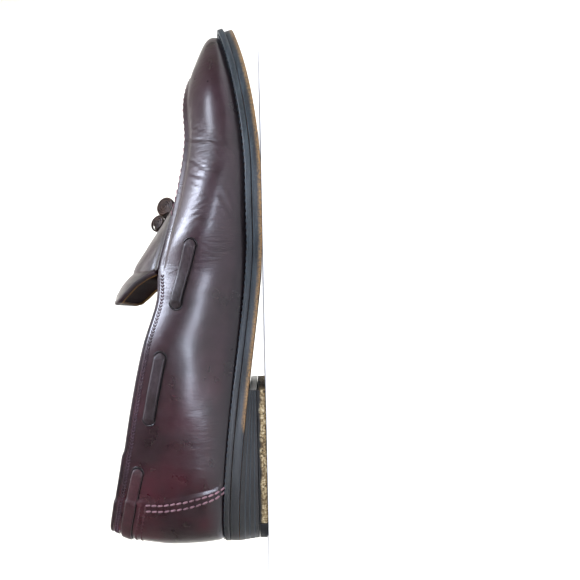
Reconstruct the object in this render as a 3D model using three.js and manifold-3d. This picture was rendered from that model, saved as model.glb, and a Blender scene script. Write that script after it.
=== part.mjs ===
// A left tassel loafer in smooth leather: welted leather sole, stacked heel, moccasin apron
// with a raised seam, collar lace, knot and two tassels.
// Millimetres, +X toe, +Y outer (lateral) side, +Z up; the shoe stands on Z = 0.
import * as THREE from 'three';
import { mergeVertices } from 'three/addons/utils/BufferGeometryUtils.js';
import Module from 'manifold-3d';

const wasm = await Module();
wasm.setup();

// Driving sizes of the last and the sole
const LENGTH = 295;
const BALL_WIDTH = 104;
const HEEL_HEIGHT = 16;
const TOE_SPRING = 16;
const BACK_HEIGHT = 88.5;
const INSTEP_HEIGHT = 56.2;
const COLLAR_WIDTH = 62;
const APRON_CROWN = 20.5;

// Driving sizes of the pieces
const OUTSOLE_THICKNESS = 4.7;
const WELT_THICKNESS = 3;
const WELT_REVEAL = 4.5;
const WAIST_REVEAL = 1.8;
const INSOLE_THICKNESS = 6;
const WALL = 2;
const CLEARANCE = 0.3;
const HEEL_LENGTH = 90.5;
const HEEL_TAPER = 1.4;
const TOP_LIFT_THICKNESS = 4.5;
const RUBBER_TIP_LENGTH = 17;
const LIFT_GROOVE = 0.6;
const HEEL_GROOVES = [0.22, 0.48, 0.72];
const GROOVE_HALF = 0.05;
const EDGE_BEVEL = 0.7;
const SEAM_RISE = 1.3;
const COUNTER_STEP = 0.8;
const TONGUE_REACH = 16.5;
const TONGUE_RISE = 20.5;
const TONGUE_THICKNESS = 2.2;
const LACE_WIDTH = 5.5;
const LACE_THICKNESS = 1.3;
const SLOT_LENGTH = 1.8;
const SLOT_WIDTH = 6.3;
const SLOT_BEYOND = 0.05;
const LACE_LIFT = 0.55;
const KNOT_WIDTH = 15;
const KNOT_LENGTH = 12;
const KNOT_HEIGHT = 10.5;
const TASSEL_LENGTH = 38;
const TASSEL_CAP_WIDTH = 10;
const TASSEL_SPREAD = 16;
const TASSEL_DEPTH = 6;
const TASSEL_STRIPS = 12;

// Shares of the length between which the tread lies flat on the floor
const TREAD_START = 0.58;
const TREAD_END = 0.687;

// Rows run from the back centre to the toe centre. The sole's edge: along as a share of LENGTH,
// medial and lateral as shares of BALL_WIDTH. The top edge, which is the collar up to the throat
// row and the apron seam beyond it: topAlong as a share of LENGTH, topMedial and topLateral as
// shares of COLLAR_WIDTH, back and instep as shares of BACK_HEIGHT and INSTEP_HEIGHT that add up
// to its height. flare and tuck lean the wall out at the welt and in at the top; crown is the
// apron's rise as a share of APRON_CROWN.
const SECTION_COLUMNS = [
  'along', 'medial', 'lateral', 'topAlong', 'topMedial', 'topLateral', 'back', 'instep',
  'flareMedial', 'flareLateral', 'tuckMedial', 'tuckLateral', 'crown',
];
const SECTIONS = [
  [0.000, 0.000, 0.000, 0.027, 0.000, 0.000, 1.000, 0.000, 0.14, 0.14, 0.45, 0.45, 0.00],
  [0.034, 0.228, 0.228, 0.040, 0.200, 0.200, 0.990, 0.000, 0.20, 0.20, 0.38, 0.38, 0.00],
  [0.123, 0.314, 0.318, 0.083, 0.335, 0.335, 0.950, 0.000, 0.26, 0.26, 0.25, 0.25, 0.00],
  [0.197, 0.317, 0.325, 0.167, 0.427, 0.435, 0.885, 0.000, 0.28, 0.26, 0.20, 0.20, 0.00],
  [0.292, 0.298, 0.337, 0.285, 0.468, 0.500, 0.500, 0.490, 0.40, 0.30, 0.22, 0.25, 0.00],
  [0.394, 0.264, 0.404, 0.389, 0.484, 0.532, 0.220, 0.808, 0.62, 0.35, 0.32, 0.35, 0.00],
  [0.485, 0.290, 0.474, 0.475, 0.468, 0.524, 0.020, 0.984, 0.66, 0.38, 0.42, 0.45, 0.00],
  [0.540, 0.335, 0.510, 0.529, 0.450, 0.508, 0.000, 1.000, 0.60, 0.42, 0.55, 0.55, 1.00],
  [0.608, 0.404, 0.529, 0.581, 0.492, 0.540, 0.000, 0.920, 0.55, 0.45, 0.68, 0.66, 0.77],
  [0.697, 0.462, 0.510, 0.669, 0.540, 0.581, 0.000, 0.776, 0.50, 0.50, 0.80, 0.80, 0.24],
  [0.783, 0.462, 0.462, 0.753, 0.545, 0.560, 0.000, 0.672, 0.50, 0.50, 0.85, 0.85, 0.15],
  [0.866, 0.416, 0.384, 0.828, 0.475, 0.465, 0.000, 0.668, 0.50, 0.50, 0.85, 0.85, 0.15],
  [0.934, 0.310, 0.276, 0.883, 0.330, 0.305, 0.000, 0.650, 0.50, 0.50, 0.85, 0.85, 0.11],
  [0.982, 0.186, 0.160, 0.911, 0.165, 0.140, 0.000, 0.620, 0.50, 0.50, 0.85, 0.85, 0.05],
  [1.000, 0.010, -0.010, 0.919, 0.016, -0.016, 0.000, 0.606, 0.50, 0.50, 0.85, 0.85, 0.00],
].map((cells) => Object.fromEntries(SECTION_COLUMNS.map((name, i) => [name, cells[i]])));
const TOE_ROW = SECTIONS.length - 1;
const THROAT_ROW = 7;
const COUNTER_ROW = 2;

// Steps of each row along the shoe, and heights up the wall as shares from welt to top edge
const STEPS_PER_ROW = 3;
const WALL_SHARES = [0, 0.12, 0.28, 0.45, 0.6, 0.735, 0.765, 0.88, 0.955, 1];
const BAND_SHARE = 0.75;
const APRON_SHARES = [0, 0.05, 0.16, 0.3, 0.5, 0.7, 0.84, 0.95, 1];
const SOLE_SHARES = [0, 0.25, 0.5, 0.75, 1];
const HEEL_STEPS = 14;
const BACK_EASE = 0.4;
const LACE_STEPS = 8;

// The tongue from the throat to its rear edge: reach and rise as shares of its own sizes,
// spread as a share of the throat's width, crown as a share of APRON_CROWN
const TONGUE_ROWS = [
  { reach: 0.00, rise: 0.00, spread: 0.96, crown: 1.00 },
  { reach: 0.14, rise: 0.26, spread: 0.95, crown: 0.87 },
  { reach: 0.40, rise: 0.58, spread: 0.93, crown: 0.72 },
  { reach: 0.75, rise: 0.84, spread: 0.89, crown: 0.62 },
  { reach: 0.94, rise: 0.96, spread: 0.82, crown: 0.52 },
  { reach: 1.00, rise: 1.00, spread: 0.70, crown: 0.47 },
];

// The collar lace's bars on one side: ends as section rows and heights as shares of BACK_HEIGHT
const LACE_BARS = [
  { name: 'front', fromRow: 7.85, fromHeight: 0.416, toRow: 5.77, toHeight: 0.530 },
  { name: 'middle', fromRow: 4.88, fromHeight: 0.620, toRow: 3.69, toHeight: 0.712 },
];
const BACK_BAR = { row: 2.98, endHeight: 0.780, backHeight: 0.911 };

const finish = (name, color, roughness) => new THREE.MeshStandardMaterial({ name, color, roughness });
const LEATHER = finish('leather', 0x4c2c31, 0.38);
const LINING = finish('lining', 0x6b4028, 0.7);
const SOLE_EDGE = finish('sole_edge', 0x33383f, 0.5);
const WORN_LEATHER = finish('worn_leather', 0x9a7c55, 0.8);
const RUBBER = finish('rubber', 0x1d1c1d, 0.75);
const LACE = finish('lace_leather', 0x463b3a, 0.55);

const UP = new THREE.Vector3(0, 0, 1);

// Closed curves through the section rows: t = 0 is the back centre, 0.5 the toe centre,
// the lateral side comes first and the medial side back to the heel
function loopCurve(pointOfRow) {
  const points = [];
  for (let row = 0; row <= TOE_ROW; row += 1) {
    points.push(pointOfRow(SECTIONS[row], 1));
  }
  for (let row = TOE_ROW - 1; row > 0; row -= 1) {
    points.push(pointOfRow(SECTIONS[row], -1));
  }
  return new THREE.CatmullRomCurve3(points, true, 'centripetal');
}

const soleEdge = loopCurve((row, side) => new THREE.Vector3(
  row.along * LENGTH,
  (side > 0 ? row.lateral : -row.medial) * BALL_WIDTH,
  0,
));

const topEdge = loopCurve((row, side) => new THREE.Vector3(
  row.topAlong * LENGTH,
  (side > 0 ? row.topLateral : -row.topMedial) * COLLAR_WIDTH,
  row.back * BACK_HEIGHT + row.instep * INSTEP_HEIGHT,
));

const leans = loopCurve((row, side) => new THREE.Vector3(
  side > 0 ? row.flareLateral : row.flareMedial,
  side > 0 ? row.tuckLateral : row.tuckMedial,
  row.crown,
));

const rowToT = (row) => row / (2 * TOE_ROW);
const wrap = (t) => ((t % 1) + 1) % 1;

function planNormal(curve, t) {
  const step = 1e-4;
  const ahead = curve.getPoint(wrap(t + step));
  const behind = curve.getPoint(wrap(t - step));
  return new THREE.Vector3(behind.y - ahead.y, ahead.x - behind.x, 0).normalize();
}

// Height of the tread above the floor: flat under the ball, rising to the heel and to the toe
function treadHeight(x) {
  const share = x / LENGTH;
  if (share < TREAD_START) {
    const rise = Math.max(0, 1 - Math.max(share, 0) / TREAD_START) ** 0.8;
    return HEEL_HEIGHT * rise * rise * (3 - 2 * rise);
  }
  return TOE_SPRING * (Math.max(0, share - TREAD_END) / (1 - TREAD_END)) ** 1.7;
}

const outsoleTop = (x) => treadHeight(x) + OUTSOLE_THICKNESS;
const weltTop = (x) => outsoleTop(x) + CLEARANCE + WELT_THICKNESS;

// The welt stands out round the forefoot and is trimmed close in the waist and heel
function reveal(x) {
  const forefoot = THREE.MathUtils.smoothstep(x / LENGTH, 0.44, 0.62);
  return THREE.MathUtils.lerp(WAIST_REVEAL, WELT_REVEAL, forefoot);
}

function insetEdge(t, inset) {
  return soleEdge.getPoint(wrap(t)).addScaledVector(planNormal(soleEdge, t), -inset);
}

function featherPoint(t) {
  const x = soleEdge.getPoint(wrap(t)).x;
  const point = insetEdge(t, reveal(x));
  point.z = weltTop(point.x) + CLEARANCE;
  return point;
}

// Outer face of the wall at share v from the welt to the top edge
function wallPoint(t, v) {
  const foot = featherPoint(t);
  const top = topEdge.getPoint(wrap(t));
  const lean = leans.getPoint(wrap(t));
  const height = foot.distanceTo(top);
  const start = planNormal(soleEdge, t).multiplyScalar(lean.x).add(UP).multiplyScalar(height);
  const end = planNormal(topEdge, t).multiplyScalar(-lean.y)
    .addScaledVector(UP, 1 - 0.55 * lean.y).multiplyScalar(height);
  const v2 = v * v;
  const v3 = v2 * v;
  return foot.multiplyScalar(2 * v3 - 3 * v2 + 1)
    .addScaledVector(start, v3 - 2 * v2 + v)
    .addScaledVector(top, 3 * v2 - 2 * v3)
    .addScaledVector(end, v3 - v2);
}

// Outer face of the apron at share w from the lateral seam to the medial seam
function apronPoint(t, w) {
  const lateral = topEdge.getPoint(wrap(t));
  const medial = topEdge.getPoint(wrap(1 - t));
  const crown = leans.getPoint(wrap(t)).z * APRON_CROWN;
  return lateral.lerp(medial, w).addScaledVector(UP, 4 * crown * w * (1 - w));
}

function faceNormal(surface, a, b) {
  const step = 1e-3;
  const alongA = surface(a + step, b).sub(surface(a - step, b));
  const alongB = surface(a, b + step).sub(surface(a, b - step));
  return alongA.cross(alongB).normalize();
}

const wallNormal = (t, v) => (v === 0 ? planNormal(soleEdge, t) : faceNormal(wallPoint, t, v).negate());
const apronNormal = (t, w) => (t >= 0.5 - 1e-6 ? UP.clone() : faceNormal(apronPoint, t, w).negate());
const isFront = (t) => Math.abs(wrap(t) - 0.5) <= 0.5 - rowToT(THROAT_ROW) + 1e-6;

function seamNormal(t) {
  const normal = wallNormal(t, 1);
  if (isFront(t)) {
    const onLateral = wrap(t) <= 0.5;
    normal.add(onLateral ? apronNormal(wrap(t), 0) : apronNormal(1 - wrap(t), 1));
  }
  return normal.normalize();
}

// The heel counter and the toe's raised seam are steps in the outer face
function wallStep(t, v) {
  const fromBack = Math.min(wrap(t), 1 - wrap(t));
  const onCounter = fromBack <= rowToT(COUNTER_ROW) + 1e-6 && v > 0 && v < BAND_SHARE;
  return onCounter ? COUNTER_STEP : 0;
}

function wallPair(t, v) {
  const point = wallPoint(t, v);
  const normal = v === 1 ? seamNormal(t) : wallNormal(t, v);
  const rise = v === 1 && isFront(t) ? SEAM_RISE : wallStep(t, v);
  return {
    outer: point.clone().addScaledVector(normal, rise),
    inner: point.addScaledVector(normal, -WALL),
  };
}

function apronPair(t, w) {
  if (w === 0) {
    return wallPair(t, 1);
  }
  if (w === 1) {
    return wallPair(1 - t, 1);
  }
  const point = apronPoint(t, w);
  const normal = apronNormal(t, w);
  return { outer: point.clone(), inner: point.addScaledVector(normal, -WALL) };
}

// Merges a surface's shared corners, drops empty triangles and turns its faces outwards
function closedBody(geometry) {
  const plain = geometry.clone();
  plain.deleteAttribute('normal');
  plain.deleteAttribute('uv');
  const merged = mergeVertices(plain, 1e-3);
  const position = merged.getAttribute('position');
  const corner = [0, 1, 2].map(() => new THREE.Vector3());
  const index = Array.from(merged.getIndex().array);
  const kept = [];
  let volume = 0;
  for (let i = 0; i < index.length; i += 3) {
    const [a, b, c] = index.slice(i, i + 3);
    if (a !== b && b !== c && c !== a) {
      kept.push(a, b, c);
      [a, b, c].forEach((vertex, k) => corner[k].fromBufferAttribute(position, vertex));
      volume += corner[0].dot(corner[1].clone().cross(corner[2]));
    }
  }
  merged.setIndex(volume < 0 ? kept.reverse() : kept);
  return merged;
}

// A list of triangles that becomes one closed, outward-facing body
class Faces {
  constructor() {
    this.positions = [];
  }

  triangle(a, b, c) {
    const area = b.clone().sub(a).cross(c.clone().sub(a)).length();
    if (area > 1e-7) {
      this.positions.push(...a.toArray(), ...b.toArray(), ...c.toArray());
    }
  }

  quad(a, b, c, d) {
    this.triangle(a, b, c);
    this.triangle(a, c, d);
  }

  strip(first, second) {
    for (let i = 0; i + 1 < first.length; i += 1) {
      this.quad(first[i], first[i + 1], second[i + 1], second[i]);
    }
  }

  fan(ring, centre) {
    ring.forEach((point, i) => this.triangle(point, ring[(i + 1) % ring.length], centre));
  }

  geometry() {
    const loose = new THREE.BufferGeometry();
    loose.setAttribute('position', new THREE.Float32BufferAttribute(this.positions, 3));
    return closedBody(loose);
  }
}

function toManifold(geometry) {
  const body = closedBody(geometry);
  return new wasm.Manifold(new wasm.Mesh({
    numProp: 3,
    vertProperties: body.getAttribute('position').array,
    triVerts: new Uint32Array(body.getIndex().array),
  }));
}

function fromManifold(solid) {
  const mesh = solid.getMesh();
  const geometry = new THREE.BufferGeometry();
  geometry.setAttribute('position', new THREE.BufferAttribute(new Float32Array(mesh.vertProperties), 3));
  geometry.setIndex(Array.from(mesh.triVerts));
  return geometry;
}

function joined(geometries) {
  return fromManifold(geometries.map(toManifold).reduce((all, next) => all.add(next)));
}

// The hollow upper: wall all round, apron between the seams, open at the collar and underneath
function upperShell() {
  const faces = new Faces();
  const count = 2 * TOE_ROW * STEPS_PER_ROW;
  const columns = [];
  for (let i = 0; i <= count; i += 1) {
    columns.push(WALL_SHARES.map((v) => wallPair(i / count, v)));
  }
  for (let i = 0; i < count; i += 1) {
    faces.strip(columns[i].map((pair) => pair.outer), columns[i + 1].map((pair) => pair.outer));
    faces.strip(columns[i + 1].map((pair) => pair.inner), columns[i].map((pair) => pair.inner));
    const foot = [columns[i][0], columns[i + 1][0]];
    faces.quad(foot[0].inner, foot[0].outer, foot[1].outer, foot[1].inner);
    if (!(isFront(i / count) && isFront((i + 1) / count))) {
      const top = [columns[i].at(-1), columns[i + 1].at(-1)];
      faces.quad(top[0].outer, top[0].inner, top[1].inner, top[1].outer);
    }
  }
  const first = THROAT_ROW * STEPS_PER_ROW;
  const rows = [];
  for (let i = first; i <= count / 2; i += 1) {
    rows.push(APRON_SHARES.map((w) => apronPair(i / count, w)));
  }
  rows[rows.length - 1] = APRON_SHARES.map(() => wallPair(0.5, 1));
  for (let i = 0; i + 1 < rows.length; i += 1) {
    faces.strip(rows[i].map((pair) => pair.outer), rows[i + 1].map((pair) => pair.outer));
    faces.strip(rows[i + 1].map((pair) => pair.inner), rows[i].map((pair) => pair.inner));
  }
  faces.strip(rows[0].map((pair) => pair.inner), rows[0].map((pair) => pair.outer));
  return faces.geometry();
}

function tongue() {
  const throat = rowToT(THROAT_ROW);
  const normalAt = (w) => apronNormal(throat + 1e-3, w);
  const rows = TONGUE_ROWS.map((row) => APRON_SHARES.map((w) => {
    const across = 0.5 + (w - 0.5) * row.spread;
    const point = apronPoint(throat, across);
    const flat = 4 * APRON_CROWN * across * (1 - across);
    point.z += row.rise * TONGUE_RISE - flat + 4 * APRON_CROWN * row.crown * across * (1 - across);
    point.x -= row.reach * TONGUE_REACH + CLEARANCE * 2;
    const normal = normalAt(across);
    return { outer: point.clone(), inner: point.clone().addScaledVector(normal, -TONGUE_THICKNESS) };
  }));
  const faces = new Faces();
  for (let i = 0; i + 1 < rows.length; i += 1) {
    faces.strip(rows[i + 1].map((pair) => pair.outer), rows[i].map((pair) => pair.outer));
    faces.strip(rows[i].map((pair) => pair.inner), rows[i + 1].map((pair) => pair.inner));
    [0, APRON_SHARES.length - 1].forEach((edge) => {
      const near = rows[i][edge];
      const far = rows[i + 1][edge];
      if (edge === 0) {
        faces.quad(near.inner, far.inner, far.outer, near.outer);
      } else {
        faces.quad(far.inner, near.inner, near.outer, far.outer);
      }
    });
  }
  faces.strip(rows[0].map((pair) => pair.outer), rows[0].map((pair) => pair.inner));
  faces.strip(rows.at(-1).map((pair) => pair.inner), rows.at(-1).map((pair) => pair.outer));
  return faces.geometry();
}

const even = (value) => () => value;

// A layer of the sole between two sides' stations, through levels from its underside upwards
function layer(stations, levels) {
  const grids = levels.map(({ inset, height }) => stations.map((station) => {
    const [from, to] = [station.lateral, station.medial]
      .map((t) => insetEdge(t, inset(soleEdge.getPoint(wrap(t)).x)));
    return SOLE_SHARES.map((w) => {
      const point = from.clone().lerp(to, w);
      point.z = height(point.x);
      return point;
    });
  }));
  const ring = (rows) => [
    ...rows.map((row) => row[0]),
    ...rows.at(-1).slice(1, -1),
    ...rows.map((row) => row.at(-1)).reverse(),
    ...rows[0].slice(0, -1).reverse(),
  ];
  const faces = new Faces();
  for (let level = 0; level + 1 < grids.length; level += 1) {
    faces.strip(ring(grids[level + 1]), ring(grids[level]));
  }
  const bottom = grids[0];
  const top = grids.at(-1);
  for (let i = 0; i + 1 < stations.length; i += 1) {
    faces.strip(bottom[i + 1], bottom[i]);
    faces.strip(top[i], top[i + 1]);
  }
  return faces.geometry();
}

function wholeStations() {
  const count = TOE_ROW * STEPS_PER_ROW;
  return Array.from({ length: count + 1 }, (_, i) => {
    const share = i / count / 2;
    return { lateral: share, medial: 1 - share };
  });
}

function stationAt(x, side) {
  let low = 0;
  let high = 0.5;
  for (let i = 0; i < 40; i += 1) {
    const middle = (low + high) / 2;
    const t = side > 0 ? middle : 1 - middle;
    if (soleEdge.getPoint(wrap(t)).x < x) {
      low = middle;
    } else {
      high = middle;
    }
  }
  return low;
}

// Stations of a heel piece between two places along the shoe, closer together at a rounded back
function heelStations(from, to) {
  const lateral = [stationAt(from, 1), stationAt(to, 1)];
  const medial = [stationAt(from, -1), stationAt(to, -1)];
  return Array.from({ length: HEEL_STEPS + 1 }, (_, i) => {
    const share = i / HEEL_STEPS;
    const slow = Math.sin(share * Math.PI / 2) ** 2;
    const eased = from > 0 ? share : THREE.MathUtils.lerp(share, slow, BACK_EASE);
    return {
      lateral: THREE.MathUtils.lerp(lateral[0], lateral[1], eased),
      medial: 1 - THREE.MathUtils.lerp(medial[0], medial[1], eased),
    };
  });
}

function outsole() {
  return layer(wholeStations(), [
    { inset: even(EDGE_BEVEL), height: treadHeight },
    { inset: even(0), height: (x) => treadHeight(x) + EDGE_BEVEL },
    { inset: even(0), height: outsoleTop },
  ]);
}

function insole() {
  const inset = (x) => reveal(x) + WALL + 2 * CLEARANCE;
  const base = (x) => outsoleTop(x) + CLEARANCE;
  return layer(wholeStations(), [
    { inset, height: base },
    { inset, height: (x) => base(x) + INSOLE_THICKNESS },
  ]);
}

// The welt: a strip round the whole edge, on which the upper's wall stands
function welt() {
  const count = 2 * TOE_ROW * STEPS_PER_ROW;
  const rings = Array.from({ length: count + 1 }, (_, i) => {
    const t = i / count;
    const x = soleEdge.getPoint(wrap(t)).x;
    const inner = reveal(x) + WALL + CLEARANCE;
    const corner = (inset, height) => {
      const point = insetEdge(t, inset);
      point.z = height(point.x);
      return point;
    };
    const bottom = (px) => outsoleTop(px) + CLEARANCE;
    return [
      corner(EDGE_BEVEL / 2, bottom),
      corner(0, (px) => bottom(px) + EDGE_BEVEL / 2),
      corner(0, (px) => weltTop(px) - EDGE_BEVEL),
      corner(EDGE_BEVEL, weltTop),
      corner(inner, weltTop),
      corner(inner, bottom),
      corner(EDGE_BEVEL / 2, bottom),
    ];
  });
  const faces = new Faces();
  for (let i = 0; i < count; i += 1) {
    faces.strip(rings[i], rings[i + 1]);
  }
  return faces.geometry();
}

// The stacked leather heel with its pressed grooves, between the outsole and the top lift
function heelStack() {
  const floor = TOP_LIFT_THICKNESS + CLEARANCE;
  const at = (share) => (x) => THREE.MathUtils.lerp(floor, treadHeight(x) - CLEARANCE, share);
  const taper = (share) => HEEL_TAPER * (1 - share);
  const levels = [{ inset: even(taper(0)), height: at(0) }];
  HEEL_GROOVES.forEach((share) => {
    levels.push({ inset: even(taper(share)), height: at(share - GROOVE_HALF) });
    levels.push({ inset: even(taper(share) + LIFT_GROOVE), height: at(share) });
    levels.push({ inset: even(taper(share)), height: at(share + GROOVE_HALF) });
  });
  levels.push({ inset: even(taper(1)), height: at(1) });
  return layer(heelStations(0, HEEL_LENGTH), levels);
}

function topLift(from, to) {
  return layer(heelStations(from, to), [
    { inset: even(HEEL_TAPER + EDGE_BEVEL), height: even(0) },
    { inset: even(HEEL_TAPER), height: even(EDGE_BEVEL) },
    { inset: even(HEEL_TAPER), height: even(TOP_LIFT_THICKNESS) },
  ]);
}

// A flat strap's cross-section with rounded upper corners, as shares of its width and thickness
const STRAP_PROFILE = [[-0.5, 0], [-0.5, 0.6], [-0.36, 1], [0.36, 1], [0.5, 0.6], [0.5, 0]];

// A flat strap over a path of points and outward normals, with its ends closed
function strap(path, width, thickness) {
  const rings = path.map(({ point, normal }, i) => {
    const ahead = path[Math.min(i + 1, path.length - 1)].point;
    const behind = path[Math.max(i - 1, 0)].point;
    const side = ahead.clone().sub(behind).cross(normal).normalize();
    return STRAP_PROFILE.map(([across, up]) => point.clone()
      .addScaledVector(side, across * width)
      .addScaledVector(normal, up * thickness));
  });
  const faces = new Faces();
  for (let i = 0; i + 1 < rings.length; i += 1) {
    faces.strip([...rings[i], rings[i][0]], [...rings[i + 1], rings[i + 1][0]]);
  }
  const middle = (ring) => ring
    .reduce((sum, corner) => sum.add(corner), new THREE.Vector3())
    .divideScalar(ring.length);
  faces.fan(rings[0].slice().reverse(), middle(rings[0]));
  faces.fan(rings.at(-1), middle(rings.at(-1)));
  return faces.geometry();
}

// A point on the wall's outer face at a station and a height, lifted clear of it
function onWall(t, height, lift) {
  let low = 0;
  let high = 1;
  for (let i = 0; i < 30; i += 1) {
    const middle = (low + high) / 2;
    if (wallPoint(t, middle).z < height) {
      low = middle;
    } else {
      high = middle;
    }
  }
  const normal = wallNormal(t, low);
  return { point: wallPoint(t, low).addScaledVector(normal, lift), normal };
}

// The slits in the wall just beyond each bar's ends, where the lace goes in
function slotCutter(t, height) {
  const { point, normal } = onWall(t, height, 0);
  const ahead = onWall(t + 1e-3, height, 0).point.sub(onWall(t - 1e-3, height, 0).point).normalize();
  const cutter = new THREE.BoxGeometry(SLOT_LENGTH, SLOT_WIDTH, 4 * WALL);
  const up = normal.clone().cross(ahead).normalize();
  const frame = new THREE.Matrix4().makeBasis(up.clone().cross(normal), up, normal);
  return cutter.applyMatrix4(frame.setPosition(point));
}

function slotCutters() {
  const ends = [1, -1].flatMap((side) => [
    ...LACE_BARS.flatMap((bar) => [
      { t: side * rowToT(bar.fromRow + SLOT_BEYOND), height: bar.fromHeight },
      { t: side * rowToT(bar.toRow - SLOT_BEYOND), height: bar.toHeight },
    ]),
    { t: side * rowToT(BACK_BAR.row + SLOT_BEYOND), height: BACK_BAR.endHeight },
  ]);
  return ends.map(({ t, height }) => slotCutter(t, height * BACK_HEIGHT));
}

function upper() {
  const shell = toManifold(upperShell());
  const slots = slotCutters().map(toManifold);
  return fromManifold(slots.reduce((wall, slot) => wall.subtract(slot), shell));
}

function laceBar(side, { fromRow, fromHeight, toRow, toHeight }) {
  const path = Array.from({ length: LACE_STEPS + 1 }, (_, i) => {
    const share = i / LACE_STEPS;
    const t = side * rowToT(THREE.MathUtils.lerp(fromRow, toRow, share));
    const height = THREE.MathUtils.lerp(fromHeight, toHeight, share) * BACK_HEIGHT;
    return onWall(t, height, LACE_LIFT);
  });
  return strap(path, LACE_WIDTH, LACE_THICKNESS);
}

function backLace() {
  const steps = 3 * LACE_STEPS;
  const path = Array.from({ length: steps + 1 }, (_, i) => {
    const share = 2 * (i / steps) - 1;
    const height = THREE.MathUtils.lerp(BACK_BAR.backHeight, BACK_BAR.endHeight, share * share);
    return onWall(share * rowToT(BACK_BAR.row), height * BACK_HEIGHT, LACE_LIFT);
  });
  return strap(path, LACE_WIDTH, LACE_THICKNESS);
}

// A rolled length of lace lying across the vamp's centre line, as a rounded barrel. The profile
// is its radius and place along its axis, both as shares of its size.
const ROLL_PROFILE = [[0, -0.5], [0.35, -0.5], [0.5, -0.38], [0.5, 0.38], [0.35, 0.5], [0, 0.5]];

// The knot's rolls: row on the vamp and sizes as shares of the knot's own
const KNOT_ROLLS = [
  { row: 8.92, length: 1.0, height: 1.00, width: 1.00 },
  { row: 8.54, length: 0.8, height: 0.74, width: 0.80 },
  { row: 8.73, length: 1.5, height: 0.70, width: 0.35 },
];

function roll({ row, length, height, width }) {
  const profile = ROLL_PROFILE.map(([radius, along]) => new THREE.Vector2(radius, along));
  const geometry = new THREE.LatheGeometry(profile, 14);
  geometry.scale(length * KNOT_LENGTH, width * KNOT_WIDTH, height * KNOT_HEIGHT);
  const crest = apronPoint(rowToT(row), 0.5);
  const ahead = apronPoint(rowToT(row + 0.1), 0.5);
  geometry.rotateY(Math.atan2(crest.z - ahead.z, ahead.x - crest.x));
  const lift = height * KNOT_HEIGHT / 2 + 2 * CLEARANCE;
  geometry.translate(...crest.addScaledVector(apronNormal(rowToT(row), 0.5), lift).toArray());
  return geometry;
}

const laceKnot = () => joined(KNOT_ROLLS.map(roll));

// The tassel's bound cap: radius as a share of its width, place along it as a share of its length
const CAP_PROFILE = [[0, 0], [0.3, 0], [0.46, 0.12], [0.5, 0.5], [0.42, 0.8], [0.5, 1], [0, 1]];
const CAP_LENGTH = TASSEL_LENGTH * 0.26;

// The strips' rows lie above and below the tassel's middle, as shares of its depth
const STRIP_LEVEL = 0.17;
const STRIP_THICKNESS = 0.3;
const STRIP_WIDTH = TASSEL_CAP_WIDTH / 5.6;

// A tassel along +X from its cap, with its strips fused under the cap and fanned out
function tassel() {
  const profile = CAP_PROFILE
    .map(([radius, along]) => new THREE.Vector2(radius * TASSEL_CAP_WIDTH, along * CAP_LENGTH));
  const cap = new THREE.LatheGeometry(profile, 12);
  cap.rotateZ(-Math.PI / 2);
  cap.scale(1, 1, TASSEL_DEPTH / TASSEL_CAP_WIDTH);
  const pieces = [cap];
  const hidden = CAP_LENGTH * 0.7;
  const stripLength = TASSEL_LENGTH - hidden;
  const perRow = TASSEL_STRIPS / 2;
  for (let i = 0; i < TASSEL_STRIPS; i += 1) {
    const share = (i % perRow) / (perRow - 1) - 0.5;
    const level = i < perRow ? -STRIP_LEVEL : STRIP_LEVEL;
    const strip = new THREE.BoxGeometry(stripLength, STRIP_WIDTH, TASSEL_DEPTH * STRIP_THICKNESS);
    strip.translate(stripLength / 2, 0, 0);
    strip.rotateZ(Math.atan2(share * (TASSEL_SPREAD - TASSEL_CAP_WIDTH), stripLength));
    strip.translate(hidden, share * TASSEL_CAP_WIDTH * 0.8, level * TASSEL_DEPTH);
    pieces.push(strip);
  }
  return joined(pieces);
}

// Where each tassel lies on the outer side of the vamp: rows along it, and places across it as
// shares of the apron from the lateral seam, or of the wall below that seam when negative.
// knotRow is the row of the knot that its lace leaves.
const TASSEL_PLACES = [
  { name: 'tassel_inner', fromRow: 9.15, toRow: 10.3, from: 0.16, to: 0.10, knotRow: 8.95 },
  { name: 'tassel_outer', fromRow: 8.75, toRow: 9.85, from: -0.14, to: -0.34, knotRow: 8.55 },
];

const skinPoint = (t, share) => (share >= 0 ? apronPair(t, share) : wallPair(t, 1 + share)).outer;

// Points of the outer face on the outer side of the vamp
function skinAroundTassels() {
  const points = [];
  for (let row = 8; row <= 12; row += 0.1) {
    for (let share = -0.7; share <= 0.6; share += 0.03) {
      points.push(skinPoint(rowToT(row), share));
    }
  }
  return points;
}

const skin = skinAroundTassels();

// The tassel's own frame, lowered on to the skin that lies under its cap and its strips
function tasselMatrix({ fromRow, toRow, from, to }) {
  const start = skinPoint(rowToT(fromRow), from);
  const end = skinPoint(rowToT(toRow), to);
  const forward = end.clone().sub(start).normalize();
  const middle = rowToT((fromRow + toRow) / 2);
  const share = (from + to) / 2;
  const normal = share > 0 ? apronNormal(middle, share) : wallNormal(middle, 1 + share);
  const side = normal.clone().cross(forward).normalize();
  const up = forward.clone().cross(side);
  const frame = new THREE.Matrix4().makeBasis(forward, side, up).setPosition(start);
  const toFrame = frame.clone().invert();
  const depthAt = (x) => (x < CAP_LENGTH + WALL ? 0.5 : STRIP_LEVEL + STRIP_THICKNESS / 2) * TASSEL_DEPTH;
  const halfWidthAt = (x) => THREE.MathUtils.lerp(TASSEL_CAP_WIDTH, TASSEL_SPREAD, x / TASSEL_LENGTH) / 2;
  const lifts = skin.map((point) => point.clone().applyMatrix4(toFrame))
    .filter(({ x, y }) => x > -1 && x < TASSEL_LENGTH + 1 && Math.abs(y) < halfWidthAt(x) + 1)
    .map(({ x, z }) => z + depthAt(x));
  start.addScaledVector(up, Math.max(...lifts) + CLEARANCE);
  return frame.setPosition(start);
}

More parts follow.
